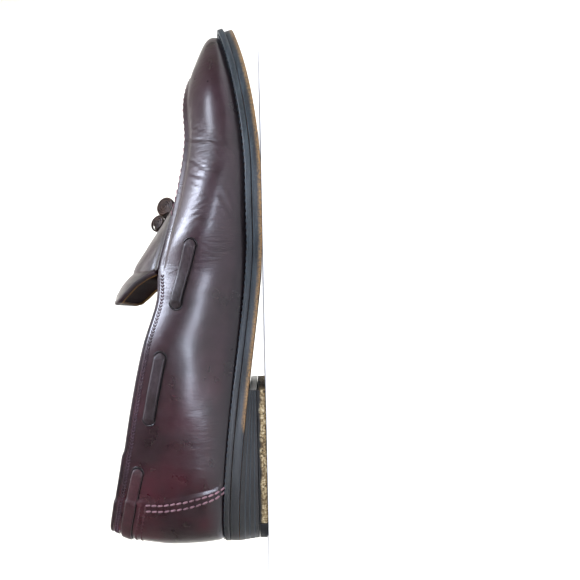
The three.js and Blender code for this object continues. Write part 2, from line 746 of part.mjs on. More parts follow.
// The lace end that carries a tassel, from beside the knot over the apron to the tassel's cap
function laceEnd(place) {
  const frame = tasselMatrix(place);
  const behindCap = (distance) => new THREE.Vector3(-distance, 0, -LACE_THICKNESS / 2).applyMatrix4(frame);
  const knotShare = 0.5 - (KNOT_WIDTH / 2 + 2 * CLEARANCE) / COLLAR_WIDTH;
  const knot = apronPoint(rowToT(place.knotRow), knotShare).addScaledVector(UP, KNOT_HEIGHT / 2);
  const overShare = (knotShare + Math.max(place.from, -knotShare / 2)) / 2;
  const over = apronPoint(rowToT((place.knotRow + place.fromRow) / 2), overShare)
    .addScaledVector(UP, 2 * LACE_THICKNESS);
  const curve = new THREE.CatmullRomCurve3(
    [knot, over, behindCap(LACE_WIDTH), behindCap(2 * CLEARANCE)],
    false,
    'centripetal',
  );
  const normal = new THREE.Vector3().setFromMatrixColumn(frame, 2);
  const points = curve.getSpacedPoints(LACE_STEPS);
  const path = points.map((point, i) => {
    const turned = UP.clone().lerp(normal, i / LACE_STEPS).normalize();
    return { point, normal: turned };
  });
  return strap(path, LACE_WIDTH * 0.6, LACE_THICKNESS);
}

const loafer = new THREE.Group();

function addPiece(name, geometry, material) {
  const mesh = new THREE.Mesh(geometry, material);
  mesh.name = name;
  mesh.geometry.computeVertexNormals();
  loafer.add(mesh);
  return mesh;
}

addPiece('outsole', outsole(), SOLE_EDGE);
addPiece('welt', welt(), SOLE_EDGE);
addPiece('heel_stack', heelStack(), SOLE_EDGE);
addPiece('heel_top_lift', topLift(RUBBER_TIP_LENGTH + CLEARANCE, HEEL_LENGTH), WORN_LEATHER);
addPiece('heel_rubber_tip', topLift(0, RUBBER_TIP_LENGTH), RUBBER);
addPiece('insole', insole(), LINING);
addPiece('upper', upper(), LEATHER);
addPiece('tongue', tongue(), LEATHER);

[[1, 'lateral'], [-1, 'medial']].forEach(([side, sideName]) => {
  LACE_BARS.forEach((bar) => addPiece(`collar_lace_${bar.name}_${sideName}`, laceBar(side, bar), LACE));
});
addPiece('collar_lace_back', backLace(), LACE);

// The whole stands with its origin at the bottom centre of the shoe without its loose lace
const box = new THREE.Box3().setFromObject(loafer);
addPiece('lace_knot', laceKnot(), LACE);
TASSEL_PLACES.forEach((place) => {
  const piece = addPiece(place.name, tassel(), LACE);
  piece.applyMatrix4(tasselMatrix(place));
  addPiece(place.name.replace('tassel', 'lace_end'), laceEnd(place), LACE);
});
loafer.position.set(-(box.min.x + box.max.x) / 2, -(box.min.y + box.max.y) / 2, -box.min.z);

export default loafer;
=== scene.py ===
"""A left tassel loafer in waxed calf, dressed over its fixed frame: upper, sole, lace, tassels."""
import logging
import math
from dataclasses import dataclass
from enum import Enum
from typing import Callable

import bpy
import numpy as np
from mathutils import Matrix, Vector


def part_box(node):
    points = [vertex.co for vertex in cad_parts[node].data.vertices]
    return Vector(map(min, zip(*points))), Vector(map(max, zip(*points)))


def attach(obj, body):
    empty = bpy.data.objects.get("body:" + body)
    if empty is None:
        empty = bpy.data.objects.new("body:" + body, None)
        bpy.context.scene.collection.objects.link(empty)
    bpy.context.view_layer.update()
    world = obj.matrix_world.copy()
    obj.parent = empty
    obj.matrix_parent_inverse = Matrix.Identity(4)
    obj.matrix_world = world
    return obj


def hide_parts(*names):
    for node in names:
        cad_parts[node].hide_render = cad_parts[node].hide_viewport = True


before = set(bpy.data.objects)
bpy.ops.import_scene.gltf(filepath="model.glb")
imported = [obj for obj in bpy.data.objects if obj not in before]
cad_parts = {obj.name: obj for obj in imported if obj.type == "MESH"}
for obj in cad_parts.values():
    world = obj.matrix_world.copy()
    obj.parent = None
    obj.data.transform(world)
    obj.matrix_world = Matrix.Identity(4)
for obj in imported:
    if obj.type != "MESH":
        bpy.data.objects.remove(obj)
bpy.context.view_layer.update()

Array = np.ndarray
Place = Callable[[Array, Array], Array]
MM = 0.001
UP = np.array([0.0, 0.0, 1.0])
log = logging.getLogger("loafer")

# The form's sections from heel to toe, as shares of the named sizes in Last
COLUMNS = (
    "along", "medial", "lateral", "top_along", "top_medial", "top_lateral", "back", "instep",
    "flare_medial", "flare_lateral", "tuck_medial", "tuck_lateral", "crown",
)
SECTIONS = (
    (0.000, 0.000, 0.000, 0.027, 0.000, 0.000, 1.000, 0.000, 0.14, 0.14, 0.45, 0.45, 0.00),
    (0.034, 0.228, 0.228, 0.040, 0.200, 0.200, 0.990, 0.000, 0.20, 0.20, 0.38, 0.38, 0.00),
    (0.123, 0.314, 0.318, 0.083, 0.335, 0.335, 0.950, 0.000, 0.26, 0.26, 0.25, 0.25, 0.00),
    (0.197, 0.317, 0.325, 0.167, 0.427, 0.435, 0.885, 0.000, 0.28, 0.26, 0.20, 0.20, 0.00),
    (0.292, 0.298, 0.337, 0.285, 0.468, 0.500, 0.500, 0.490, 0.40, 0.30, 0.22, 0.25, 0.00),
    (0.394, 0.264, 0.404, 0.389, 0.484, 0.532, 0.220, 0.808, 0.62, 0.35, 0.32, 0.35, 0.00),
    (0.485, 0.290, 0.474, 0.475, 0.468, 0.524, 0.020, 0.984, 0.66, 0.38, 0.42, 0.45, 0.00),
    (0.540, 0.335, 0.510, 0.529, 0.450, 0.508, 0.000, 1.000, 0.60, 0.42, 0.55, 0.55, 1.00),
    (0.608, 0.404, 0.529, 0.581, 0.492, 0.540, 0.000, 0.920, 0.55, 0.45, 0.68, 0.66, 0.77),
    (0.697, 0.462, 0.510, 0.669, 0.540, 0.581, 0.000, 0.776, 0.50, 0.50, 0.80, 0.80, 0.24),
    (0.783, 0.462, 0.462, 0.753, 0.545, 0.560, 0.000, 0.698, 0.50, 0.50, 0.88, 0.88, 0.07),
    (0.866, 0.416, 0.384, 0.828, 0.475, 0.465, 0.000, 0.712, 0.50, 0.50, 1.00, 1.00, 0.04),
    (0.934, 0.310, 0.276, 0.883, 0.330, 0.305, 0.000, 0.680, 0.50, 0.50, 1.25, 1.25, 0.03),
    (0.982, 0.186, 0.160, 0.911, 0.165, 0.140, 0.000, 0.636, 0.50, 0.50, 1.36, 1.36, 0.01),
    (1.000, 0.010, -0.010, 0.919, 0.016, -0.016, 0.000, 0.612, 0.50, 0.50, 1.40, 1.40, 0.00),
)
TOE_ROW = len(SECTIONS) - 1
THROAT_ROW = 7

# The tongue from the throat to its rear edge, as shares of its reach and rise
TONGUE_COLUMNS = ("reach", "rise", "spread", "crown")
TONGUE_ROWS = (
    (0.00, 0.00, 0.96, 1.00),
    (0.14, 0.26, 0.95, 0.87),
    (0.40, 0.58, 0.93, 0.72),
    (0.75, 0.84, 0.89, 0.62),
    (0.94, 0.96, 0.82, 0.52),
    (1.00, 1.00, 0.70, 0.47),
)


class Side(Enum):
    """The two sides of the shoe, with the sign of the lateral axis."""

    LATERAL = 1
    MEDIAL = -1


def unit(vectors: Array) -> Array:
    """Vectors at length one."""
    return vectors / np.maximum(np.linalg.norm(vectors, axis=-1, keepdims=True), 1e-12)


def smooth(value: Array, low: float, high: float) -> Array:
    """A soft step from 0 at low to 1 at high."""
    share = np.clip((value - low) / (high - low), 0.0, 1.0)
    return share * share * (3.0 - 2.0 * share)


def bump(distance: Array, width: float) -> Array:
    """A rounded hump of height one and of that half width."""
    return np.exp(-((distance / width) ** 2))


def row_t(row: float | Array) -> float | Array:
    """The loop parameter of a section row on the lateral side, or of several."""
    return row / (2 * TOE_ROW)


class LoopCurve:
    """A closed curve through given points, with centripetal spacing."""

    def __init__(self, points: Array) -> None:
        """Keeps the points that the loop passes through."""
        self.points = np.asarray(points, float)

    def at(self, t: Array) -> Array:
        """Points at loop parameters.

        Args:
            t: loop parameters; 0 is the back centre and 0.5 the toe.

        Returns:
            One point for each parameter.
        """
        count = len(self.points)
        place = np.mod(np.asarray(t, float), 1.0) * count
        first = np.floor(place).astype(int)
        share = (place - first)[..., None]
        c0, c1, c2, c3 = (self.points[(first + k) % count] for k in (-1, 0, 1, 2))
        before, middle, after = (
            np.sum((b - a) ** 2, axis=-1, keepdims=True) ** 0.25 for a, b in ((c0, c1), (c1, c2), (c2, c3))
        )
        middle = np.where(middle < 1e-4, 1.0, middle)
        before = np.where(before < 1e-4, middle, before)
        after = np.where(after < 1e-4, middle, after)
        start = ((c1 - c0) / before - (c2 - c0) / (before + middle) + (c2 - c1) / middle) * middle
        end = ((c2 - c1) / middle - (c3 - c1) / (middle + after) + (c3 - c2) / after) * middle
        square = -3 * c1 + 3 * c2 - 2 * start - end
        cubic = 2 * c1 - 2 * c2 + start + end
        return c1 + share * (start + share * (square + share * cubic))


@dataclass
class Last:
    """The form that every piece follows; sizes in millimetres, in the frame it was drawn in."""

    length: float = 295.0
    ball_width: float = 104.0
    heel_height: float = 16.0
    toe_spring: float = 16.0
    back_height: float = 88.5
    instep_height: float = 56.2
    collar_width: float = 62.0
    apron_crown: float = 20.5
    outsole: float = 4.7
    welt: float = 3.0
    welt_reveal: float = 4.5
    waist_reveal: float = 1.8
    wall: float = 2.0
    gap: float = 0.3
    tread_start: float = 0.58
    tread_end: float = 0.687
    tongue_reach: float = 16.5
    tongue_rise: float = 20.5

    def __post_init__(self) -> None:
        """Makes the edge loops from the table of sections."""
        table = {name: np.array(column) for name, column in zip(COLUMNS, zip(*SECTIONS))}

        def loop(lateral: list[Array], medial: list[Array]) -> LoopCurve:
            """One closed loop from its lateral side and its medial one."""
            there = np.stack(lateral, axis=1)
            back = np.stack(medial, axis=1)[1:-1][::-1]
            return LoopCurve(np.concatenate([there, back]))

        zero = np.zeros(TOE_ROW + 1)
        along = table["along"] * self.length
        self.sole_edge = loop(
            [along, table["lateral"] * self.ball_width, zero],
            [along, -table["medial"] * self.ball_width, zero],
        )
        top = table["top_along"] * self.length
        rise = table["back"] * self.back_height + table["instep"] * self.instep_height
        self.top_edge = loop(
            [top, table["top_lateral"] * self.collar_width, rise],
            [top, -table["top_medial"] * self.collar_width, rise],
        )
        self.leans = loop(
            [table["flare_lateral"], table["tuck_lateral"], table["crown"]],
            [table["flare_medial"], table["tuck_medial"], table["crown"]],
        )
        stations = np.arange(6 * TOE_ROW) / (6 * TOE_ROW)
        low = self.sole_edge.at(stations).min(axis=0)
        corner = np.array(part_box("outsole")[0]) / MM
        self.shift = np.array([corner[0] - low[0], corner[1] - low[1], 0.0])

    def to_row(self, points: Array) -> Array:
        """Points from this drawing frame to the frame of the part, in metres."""
        return (points + self.shift) * MM

    def tread(self, x: Array) -> Array:
        """Height of the tread above the floor."""
        share = x / self.length
        back = np.clip(1 - np.clip(share, 0, None) / self.tread_start, 0, None) ** 0.8
        heel = self.heel_height * back * back * (3 - 2 * back)
        toe = self.toe_spring * (np.clip(share - self.tread_end, 0, None) / (1 - self.tread_end)) ** 1.7
        return np.where(share < self.tread_start, heel, toe)

    def outsole_top(self, x: Array) -> Array:
        """Height of the outsole's upper face."""
        return self.tread(x) + self.outsole

    def welt_top(self, x: Array) -> Array:
        """Height of the welt's upper face."""
        return self.outsole_top(x) + self.gap + self.welt

    def reveal(self, x: Array) -> Array:
        """How far the welt stands out of the upper's foot."""
        forefoot = smooth(x / self.length, 0.44, 0.62)
        return self.waist_reveal + (self.welt_reveal - self.waist_reveal) * forefoot

    def plan_normal(self, curve: LoopCurve, t: Array) -> Array:
        """Outward normals of a loop, seen from above."""
        ahead = curve.at(t + 1e-4)
        behind = curve.at(t - 1e-4)
        normal = np.zeros_like(ahead)
        normal[..., 0] = behind[..., 1] - ahead[..., 1]
        normal[..., 1] = ahead[..., 0] - behind[..., 0]
        return unit(normal)

    def inset_edge(self, t: Array, inset: Array) -> Array:
        """The sole's edge moved inwards."""
        inset = np.broadcast_to(np.asarray(inset, float), np.shape(t))
        return self.sole_edge.at(t) - self.plan_normal(self.sole_edge, t) * inset[..., None]

    def wall_at(self, t: Array, v: Array) -> Array:
        """The outer face of the upper's wall.

        Args:
            t: loop parameters.
            v: shares of the height, from the welt to the top edge.

        Returns:
            Points in the drawing frame.
        """
        t, v = np.broadcast_arrays(np.asarray(t, float), np.asarray(v, float))
        foot = self.inset_edge(t, self.reveal(self.sole_edge.at(t)[..., 0]))
        foot[..., 2] = self.welt_top(foot[..., 0]) + self.gap
        top = self.top_edge.at(t)
        lean = self.leans.at(t)
        height = np.linalg.norm(foot - top, axis=-1, keepdims=True)
        start = (self.plan_normal(self.sole_edge, t) * lean[..., 0:1] + UP) * height
        tuck = lean[..., 1:2]
        end = (-self.plan_normal(self.top_edge, t) * tuck + UP * (1 - 0.55 * tuck)) * height
        v = v[..., None]
        v2, v3 = v * v, v * v * v
        return (
            foot * (2 * v3 - 3 * v2 + 1) + start * (v3 - 2 * v2 + v) + top * (3 * v2 - 2 * v3) + end * (v3 - v2)
        )

    def apron_at(self, t: Array, w: Array) -> Array:
        """The apron's face at shares from the lateral to the medial seam."""
        t, w = np.broadcast_arrays(np.asarray(t, float), np.asarray(w, float))
        lateral = self.top_edge.at(t)
        medial = self.top_edge.at(1 - t)
        crown = self.leans.at(t)[..., 2] * self.apron_crown
        point = lateral + (medial - lateral) * w[..., None]
        point[..., 2] += 4 * crown * w * (1 - w)
        return point

    def face_normal(self, surface: Place, a: Array, b: Array) -> Array:
        """Outward normals of the wall or the apron by small differences."""
        step = 1e-3
        along_a = surface(a + step, b) - surface(a - step, b)
        along_b = surface(a, b + step) - surface(a, b - step)
        return -unit(np.cross(along_a, along_b))

    def wall_normal(self, t: Array, v: Array) -> Array:
        """Outward normals of the wall."""
        return self.face_normal(self.wall_at, t, v)

    def apron_normal(self, t: Array, w: Array) -> Array:
        """Outward normals of the apron."""
        t = np.minimum(t, 0.4975)
        return self.face_normal(self.apron_at, t, w)

    def tongue_at(self, share: Array, w: Array) -> Array:
        """The tongue's face, from the throat at share 0 to its rear edge at share 1."""
        table = {name: np.array(column) for name, column in zip(TONGUE_COLUMNS, zip(*TONGUE_ROWS))}
        key = np.linspace(0.0, 1.0, len(TONGUE_ROWS))
        reach, rise, spread, crown = (np.interp(share, key, table[name]) for name in TONGUE_COLUMNS)
        across = 0.5 + (w - 0.5) * spread
        throat = np.full_like(share, row_t(THROAT_ROW))
        point = self.apron_at(throat, across)
        point[..., 2] += rise * self.tongue_rise
        point[..., 2] += 4 * self.apron_crown * (crown - 1) * across * (1 - across)
        point[..., 0] -= reach * self.tongue_reach
        return point

    def height_share(self, t: Array, z: Array) -> Array:
        """The share up the wall at which it has a height."""
        t, z = np.broadcast_arrays(np.asarray(t, float), np.asarray(z, float))
        low, high = np.zeros_like(t), np.ones_like(t)
        for _ in range(18):
            middle = (low + high) / 2
            below = self.wall_at(t, middle)[..., 2] < z
            low, high = np.where(below, middle, low), np.where(below, high, middle)
        return (low + high) / 2

    def locate(self, x: Array, z: Array, side: Side) -> tuple[Array, Array]:
        """Loop parameters and height shares of places given from the side.

        Args:
            x: places along the shoe.
            z: heights above the floor.
            side: which side of the shoe.

        Returns:
            The loop parameters and the shares up the wall.
        """
        x, z = np.broadcast_arrays(np.asarray(x, float), np.asarray(z, float))
        low, high = np.zeros_like(x), np.full_like(x, 0.5)
        for _ in range(18):
            middle = (low + high) / 2
            t = middle if side is Side.LATERAL else 1 - middle
            behind = self.wall_at(t, self.height_share(t, z))[..., 0] < x
            low, high = np.where(behind, middle, low), np.where(behind, high, middle)
        t = (low + high) / 2
        t = t if side is Side.LATERAL else 1 - t
        return t, self.height_share(t, z)


def to_linear(colour: str) -> tuple[float, float, float, float]:
    """A linear colour from an sRGB hex value such as "4a3034"."""
    channels = (int(colour[i:i + 2], 16) / 255 for i in (0, 2, 4))
    linear = [c / 12.92 if c <= 0.04045 else ((c + 0.055) / 1.055) ** 2.4 for c in channels]
    return (linear[0], linear[1], linear[2], 1.0)


def add(tree: bpy.types.NodeTree, kind: str, inputs: dict | None = None, **settings: object) -> bpy.types.Node:
    """Adds a node with its settings, values and links.

    Args:
        tree: the material's node tree.
        kind: the node's type name without its ShaderNode prefix.
        inputs: values or sockets to link, by the input's name or number.
        settings: properties of the node.

    Returns:
        The new node.
    """
    node = tree.nodes.new("ShaderNode" + kind)
    for name, value in settings.items():
        setattr(node, name, value)
    for name, value in (inputs or {}).items():
        if isinstance(value, bpy.types.NodeSocket):
            tree.links.new(value, node.inputs[name])
        else:
            node.inputs[name].default_value = value
    return node


def ramp(tree: bpy.types.NodeTree, factor: bpy.types.NodeSocket,
         stops: list[tuple[float, str]]) -> bpy.types.NodeSocket:
    """A colour ramp's output through sRGB stops."""
    node = add(tree, "ValToRGB", {"Fac": factor})
    elements = node.color_ramp.elements
    while len(elements) < len(stops):
        elements.new(0.5)
    for element, (place, colour) in zip(elements, stops):
        element.position = place
        element.color = to_linear(colour)
    return node.outputs["Color"]


def mix(tree: bpy.types.NodeTree, factor: object, first: object, second: object) -> bpy.types.NodeSocket:
    """The output of two colours mixed."""
    node = add(tree, "Mix", data_type="RGBA", blend_type="MIX")
    for name, value in (("Factor_Float", factor), ("A_Color", first), ("B_Color", second)):
        socket = next(s for s in node.inputs if s.identifier == name)
        if isinstance(value, bpy.types.NodeSocket):
            tree.links.new(value, socket)
        else:
            socket.default_value = value
    return next(s for s in node.outputs if s.identifier == "Result_Color")


def maths(tree: bpy.types.NodeTree, how: str, *values: object) -> bpy.types.NodeSocket:
    """The output of one arithmetic step."""
    node = add(tree, "Math", dict(enumerate(values)), operation=how)
    return node.outputs[0]


def per_mm(size: float) -> float:
    """A pattern's scale from the real size of its cells in millimetres."""
    return 1.0 / (size * MM)


@dataclass(frozen=True)
class Finish:
    """What every finish shares: a Principled shader with uniform values set on its own sockets."""

    name: str
    roughness: float
    ior: float = 1.5
    coat: float = 0.0
    coat_roughness: float = 0.2
    sheen: float = 0.0
    specular: float = 0.35

    def start(self) -> tuple[bpy.types.Material, bpy.types.NodeTree, bpy.types.Node]:
        """A new material, its tree and its shader."""
        material = bpy.data.materials.new(self.name)
        material.use_nodes = True
        tree = material.node_tree
        shader = tree.nodes["Principled BSDF"]
        shader.inputs["Roughness"].default_value = self.roughness
        shader.inputs["IOR"].default_value = self.ior
        shader.inputs["Specular IOR Level"].default_value = self.specular
        shader.inputs["Coat Weight"].default_value = self.coat
        shader.inputs["Coat Roughness"].default_value = self.coat_roughness
        shader.inputs["Sheen Weight"].default_value = self.sheen
        return material, tree, shader

    def noise(self, tree: bpy.types.NodeTree, size: float, detail: float = 3.0,
              stretch: tuple = (1, 1, 1)) -> bpy.types.NodeSocket:
        """A noise of cells of that size in millimetres, in the object's own space."""
        where = add(tree, "TexCoord").outputs["Object"]
        mapping = add(tree, "Mapping", {"Vector": where, "Scale": stretch})
        return add(tree, "TexNoise", {
            "Vector": mapping.outputs[0], "Scale": per_mm(size), "Detail": detail,
        }).outputs["Fac"]

    def relief(self, tree: bpy.types.NodeTree, shader: bpy.types.Node, layers: list[tuple]) -> None:
        """Chains bumps of (height, strength, depth in mm) into the shader."""
        normal = None
        for height, strength, depth in layers:
            inputs = {"Height": height, "Strength": strength, "Distance": depth * MM}
            if normal is not None:
                inputs["Normal"] = normal
            normal = add(tree, "Bump", inputs).outputs[0]
        tree.links.new(normal, shader.inputs["Normal"])


@dataclass(frozen=True)
class WaxedCalf(Finish):
    """Full-grain calf, aniline dyed and waxed: fine pores, patches of dye, a soft cool gloss."""

    name: str = "waxed_calf"
    roughness: float = 0.34
    ior: float = 1.5
    specular: float = 0.42
    coat: float = 0.3
    coat_roughness: float = 0.2

    def make(self) -> bpy.types.Material:
        """The calf's material."""
        material, tree, shader = self.start()
        patch = self.noise(tree, 34, 4.0)
        cloud = self.noise(tree, 9, 5.0)
        base = ramp(tree, patch, [(0.32, "1c0d10"), (0.5, "271418"), (0.66, "301d24")])
        base = mix(tree, 0.35, base, ramp(tree, cloud, [(0.35, "1c0d0f"), (0.5, "29151b"), (0.68, "362429")]))
        place = add(tree, "SeparateXYZ", {0: add(tree, "TexCoord").outputs["Object"]})
        heel = add(tree, "MapRange", {0: place.outputs["X"], 1: -0.02, 2: -0.125, 3: 0.0, 4: 0.75}).outputs[0]
        red = maths(tree, "MULTIPLY", heel, add(tree, "MapRange", {0: patch, 1: 0.4, 2: 0.6}).outputs[0])
        base = mix(tree, red, base, to_linear("40101a"))
        # Darker where the UV's Y is low, at the wall's foot by the welt: painted shade where the wall turns
        # under, partly also the dark edge dressing there
        uv = add(tree, "SeparateXYZ", {0: add(tree, "UVMap").outputs[0]})
        foot = add(tree, "MapRange", {0: uv.outputs["Y"], 1: 0.13, 2: 0.02, 3: 0.0, 4: 0.85}).outputs[0]
        base = mix(tree, foot, base, to_linear("120b0d"))
        # Painted shade: the calf is darkened in the creases' troughs by their stored shade
        crease = add(tree, "Attribute", attribute_name="crease").outputs["Fac"]
        base = mix(tree, maths(tree, "MULTIPLY", crease, 0.55), base, to_linear("180c10"))
        tree.links.new(base, shader.inputs["Base Color"])
        flex = add(tree, "Attribute", attribute_name="flex").outputs["Fac"]
        rough = add(tree, "MapRange", {0: cloud, 1: 0.3, 2: 0.7, 3: 0.24, 4: 0.33}).outputs[0]
        rough = maths(tree, "ADD", rough, maths(tree, "MULTIPLY", flex, 0.14))
        tree.links.new(rough, shader.inputs["Roughness"])
        where = add(tree, "TexCoord").outputs["Object"]
        # Real pores are too fine to show, so these are drawn coarser
        pores = add(tree, "TexVoronoi", {"Vector": where, "Scale": per_mm(0.9)}, feature="F1")
        fine = self.noise(tree, 2.4, 2.0, (1.0, 0.8, 0.5))
        turned = add(tree, "Mapping", {
            "Vector": where, "Rotation": (0, math.radians(-16), 0), "Scale": (1, 0.35, 0.17),
        })
        wrinkle = add(tree, "TexNoise", {"Vector": turned.outputs[0], "Scale": per_mm(1.7), "Detail": 2.0})
        folds = maths(tree, "MULTIPLY", wrinkle.outputs["Fac"], flex)
        self.relief(tree, shader, [
            (pores.outputs["Distance"], 0.1, 0.1),
            (fine, 0.3, 0.3),
            (folds, 0.6, 0.5),
            (cloud, 0.1, 0.6),
        ])
        return material


@dataclass(frozen=True)
class PlainLeather(Finish):
    """Vegetable-tanned leather, cut and dyed: two tones of dye, a fibrous grain and rubbed places."""

    dark: str = "2a120c"
    light: str = "4a2a1c"
    grain: float = 1.6
    depth: float = 0.25
    patch: float = 14.0

    def make(self) -> bpy.types.Material:
        """The leather's material."""
        material, tree, shader = self.start()
        patch = self.noise(tree, self.patch, 5.0)
        fine = self.noise(tree, self.grain, 4.0)
        both = maths(tree, "ADD", maths(tree, "MULTIPLY", patch, 0.65), maths(tree, "MULTIPLY", fine, 0.35))
        tree.links.new(ramp(tree, both, [(0.38, self.dark), (0.62, self.light)]), shader.inputs["Base Color"])
        rough = add(tree, "MapRange", {
            0: fine, 1: 0.3, 2: 0.7, 3: self.roughness - 0.07, 4: self.roughness + 0.09,
        }).outputs[0]
        tree.links.new(rough, shader.inputs["Roughness"])
        self.relief(tree, shader, [(fine, 0.5, self.depth), (patch, 0.3, self.depth * 2)])
        return material


@dataclass(frozen=True)
class InkedEdge(Finish):
    """Sole leather's cut edge, inked blue-black and waxed: long fibres, pressed lines, pale scuffs."""

    name: str = "inked_edge"
    roughness: float = 0.42
    coat: float = 0.15
    coat_roughness: float = 0.35
    lines: bool = False
    dark: str = "13171a"
    middle: str = "22282c"
    light: str = "373f44"

    def make(self) -> bpy.types.Material:
        """The edge's material."""
        material, tree, shader = self.start()
        fibre = self.noise(tree, 2.4, 6.0, (0.12, 0.12, 1.0))
        speck = self.noise(tree, 0.9, 3.0)
        patch = self.noise(tree, 22, 4.0)
        base = ramp(tree, fibre, [(0.3, self.dark), (0.5, self.middle), (0.7, self.light)])
        base = mix(tree, 0.35, base, ramp(tree, patch, [(0.35, self.dark), (0.65, self.light)]))
        scuff = add(tree, "MapRange", {0: speck, 1: 0.55, 2: 0.75, 3: 0.0, 4: 0.45}).outputs[0]
        base = mix(tree, scuff, base, to_linear("4f5757"))
        place = add(tree, "SeparateXYZ", {0: add(tree, "TexCoord").outputs["Object"]})
        back = add(tree, "MapRange", {0: place.outputs["X"], 1: -0.01, 2: -0.10, 3: 0.0, 4: 0.7}).outputs[0]
        base = mix(tree, back, base, mix(tree, fibre, to_linear("1d1c1b"), to_linear("35322f")))
        worn = add(tree, "Attribute", attribute_name="worn").outputs["Fac"]
        worn = add(tree, "MapRange", {0: worn, 1: 0.5, 2: 0.85}).outputs[0]
        rubbed = add(tree, "MapRange", {0: speck, 1: 0.36, 2: 0.56, 3: 0.25, 4: 1.0}).outputs[0]
        base = mix(tree, maths(tree, "MULTIPLY", worn, rubbed), base, mix(
            tree, fibre, to_linear("54381f"), to_linear("b08a56")))
        if self.lines:
            crease = add(tree, "Attribute", attribute_name="crease").outputs["Fac"]
            base = mix(tree, crease, base, to_linear("3f474c"))
        tree.links.new(base, shader.inputs["Base Color"])
        rough = add(tree, "MapRange", {0: patch, 1: 0.3, 2: 0.7, 3: 0.36, 4: 0.55}).outputs[0]
        tree.links.new(rough, shader.inputs["Roughness"])
        self.relief(tree, shader, [(fibre, 0.35, 0.3), (speck, 0.25, 0.15)])
        return material


@dataclass(frozen=True)
class WornEdge(Finish):
    """Top-piece leather with its ink walked off: golden tan, mottled with dark grit."""

    name: str = "worn_edge"
    roughness: float = 0.72

    def make(self) -> bpy.types.Material:
        """The worn leather's material."""
        material, tree, shader = self.start()
        grit = self.noise(tree, 1.1, 5.0)
        patch = self.noise(tree, 6, 4.0)
        base = ramp(tree, grit, [(0.34, "2b241c"), (0.46, "7c6742"), (0.58, "b3a07a"), (0.7, "cfc3a4")])
        base = mix(tree, add(tree, "MapRange", {0: patch, 1: 0.45, 2: 0.7, 3: 0, 4: 0.7}).outputs[0],
                   base, to_linear("5a4326"))
        place = add(tree, "SeparateXYZ", {0: add(tree, "TexCoord").outputs["Object"]})
        wander = maths(tree, "ADD", place.outputs["Z"], maths(tree, "MULTIPLY", patch, 2.2 * MM))
        inked = add(tree, "MapRange", {0: wander, 1: 3.6 * MM, 2: 4.8 * MM, 3: 0.0, 4: 1.0}).outputs[0]
        base = mix(tree, inked, base, to_linear("1c1b1a"))
        tree.links.new(base, shader.inputs["Base Color"])
        self.relief(tree, shader, [(grit, 0.7, 0.4)])
        return material


class Finishes:
    """Every material of the shoe, made once."""

    def __init__(self) -> None:
        """Makes every finish once."""
        self.calf = WaxedCalf().make()
        self.lining = PlainLeather("lining_leather", 0.62, dark="170605", light="2c110c", grain=1.2).make()
        self.footbed = PlainLeather("footbed_leather", 0.55, dark="4a2c1b", light="7c5233", patch=30).make()
        self.binding = PlainLeather("topline_binding", 0.45, dark="150b0d", light="2c191d", grain=0.9).make()
        self.raw_edge = PlainLeather("raw_edge", 0.5, dark="4a2f17", light="8f6a38", grain=0.7).make()
        self.sole_bottom = PlainLeather("sole_bottom", 0.6, dark="4f3019", light="a8733f", patch=12).make()
        self.inked = InkedEdge().make()
        self.inked_lifts = InkedEdge(name="inked_lifts", lines=True, dark="0e0f11", middle="181a1c",
                                     light="282a2c").make()
        self.worn = WornEdge().make()
        self.rubber = PlainLeather("heel_rubber", 0.7, dark="111113", light="262628", grain=0.8, patch=8).make()
        self.lace = PlainLeather("lace_leather", 0.36, dark="1b1211", light="32272a", grain=1.3, patch=18,
                                 depth=0.12).make()
        self.red_lace = PlainLeather("heel_lace_leather", 0.36, dark="281416", light="412529", grain=1.3,
                                     patch=18, depth=0.12).make()
        self.knot = PlainLeather("knot_leather", 0.45, dark="1f1411", light="4a362a", grain=1.1, patch=5).make()
        self.pink_thread = PlainLeather("seam_thread", 0.65, dark="573d42", light="8c6a70", grain=0.5).make()
        self.red_thread = PlainLeather("heel_band_thread", 0.6, dark="2c1518", light="5c3a3e", grain=0.5).make()
        self.dark_thread = PlainLeather("topline_thread", 0.6, dark="1e1114", light="45303a", grain=0.5).make()
        self.welt_thread = PlainLeather("welt_thread", 0.6, dark="15171a", light="33383d", grain=0.5).make()
        # Near-black: painted shade under the collar lace's bars, and also the colour of the vamp's small dark
        # pit
        self.slit = PlainLeather("slit_shade", 0.9, dark="050304", light="120a0b", grain=0.8).make()


def deselect() -> None:
    """Leaves nothing selected."""
    bpy.ops.object.select_all(action="DESELECT")


def activate(piece: bpy.types.Object) -> None:
    """Makes one piece the only one selected, and active."""
    deselect()
    piece.select_set(True)
    bpy.context.view_layer.objects.active = piece


def coordinates(piece: bpy.types.Object) -> Array:
    """A mesh's vertices as an array."""
    flat = np.empty(len(piece.data.vertices) * 3)
    piece.data.vertices.foreach_get("co", flat)
    return flat.reshape(-1, 3)


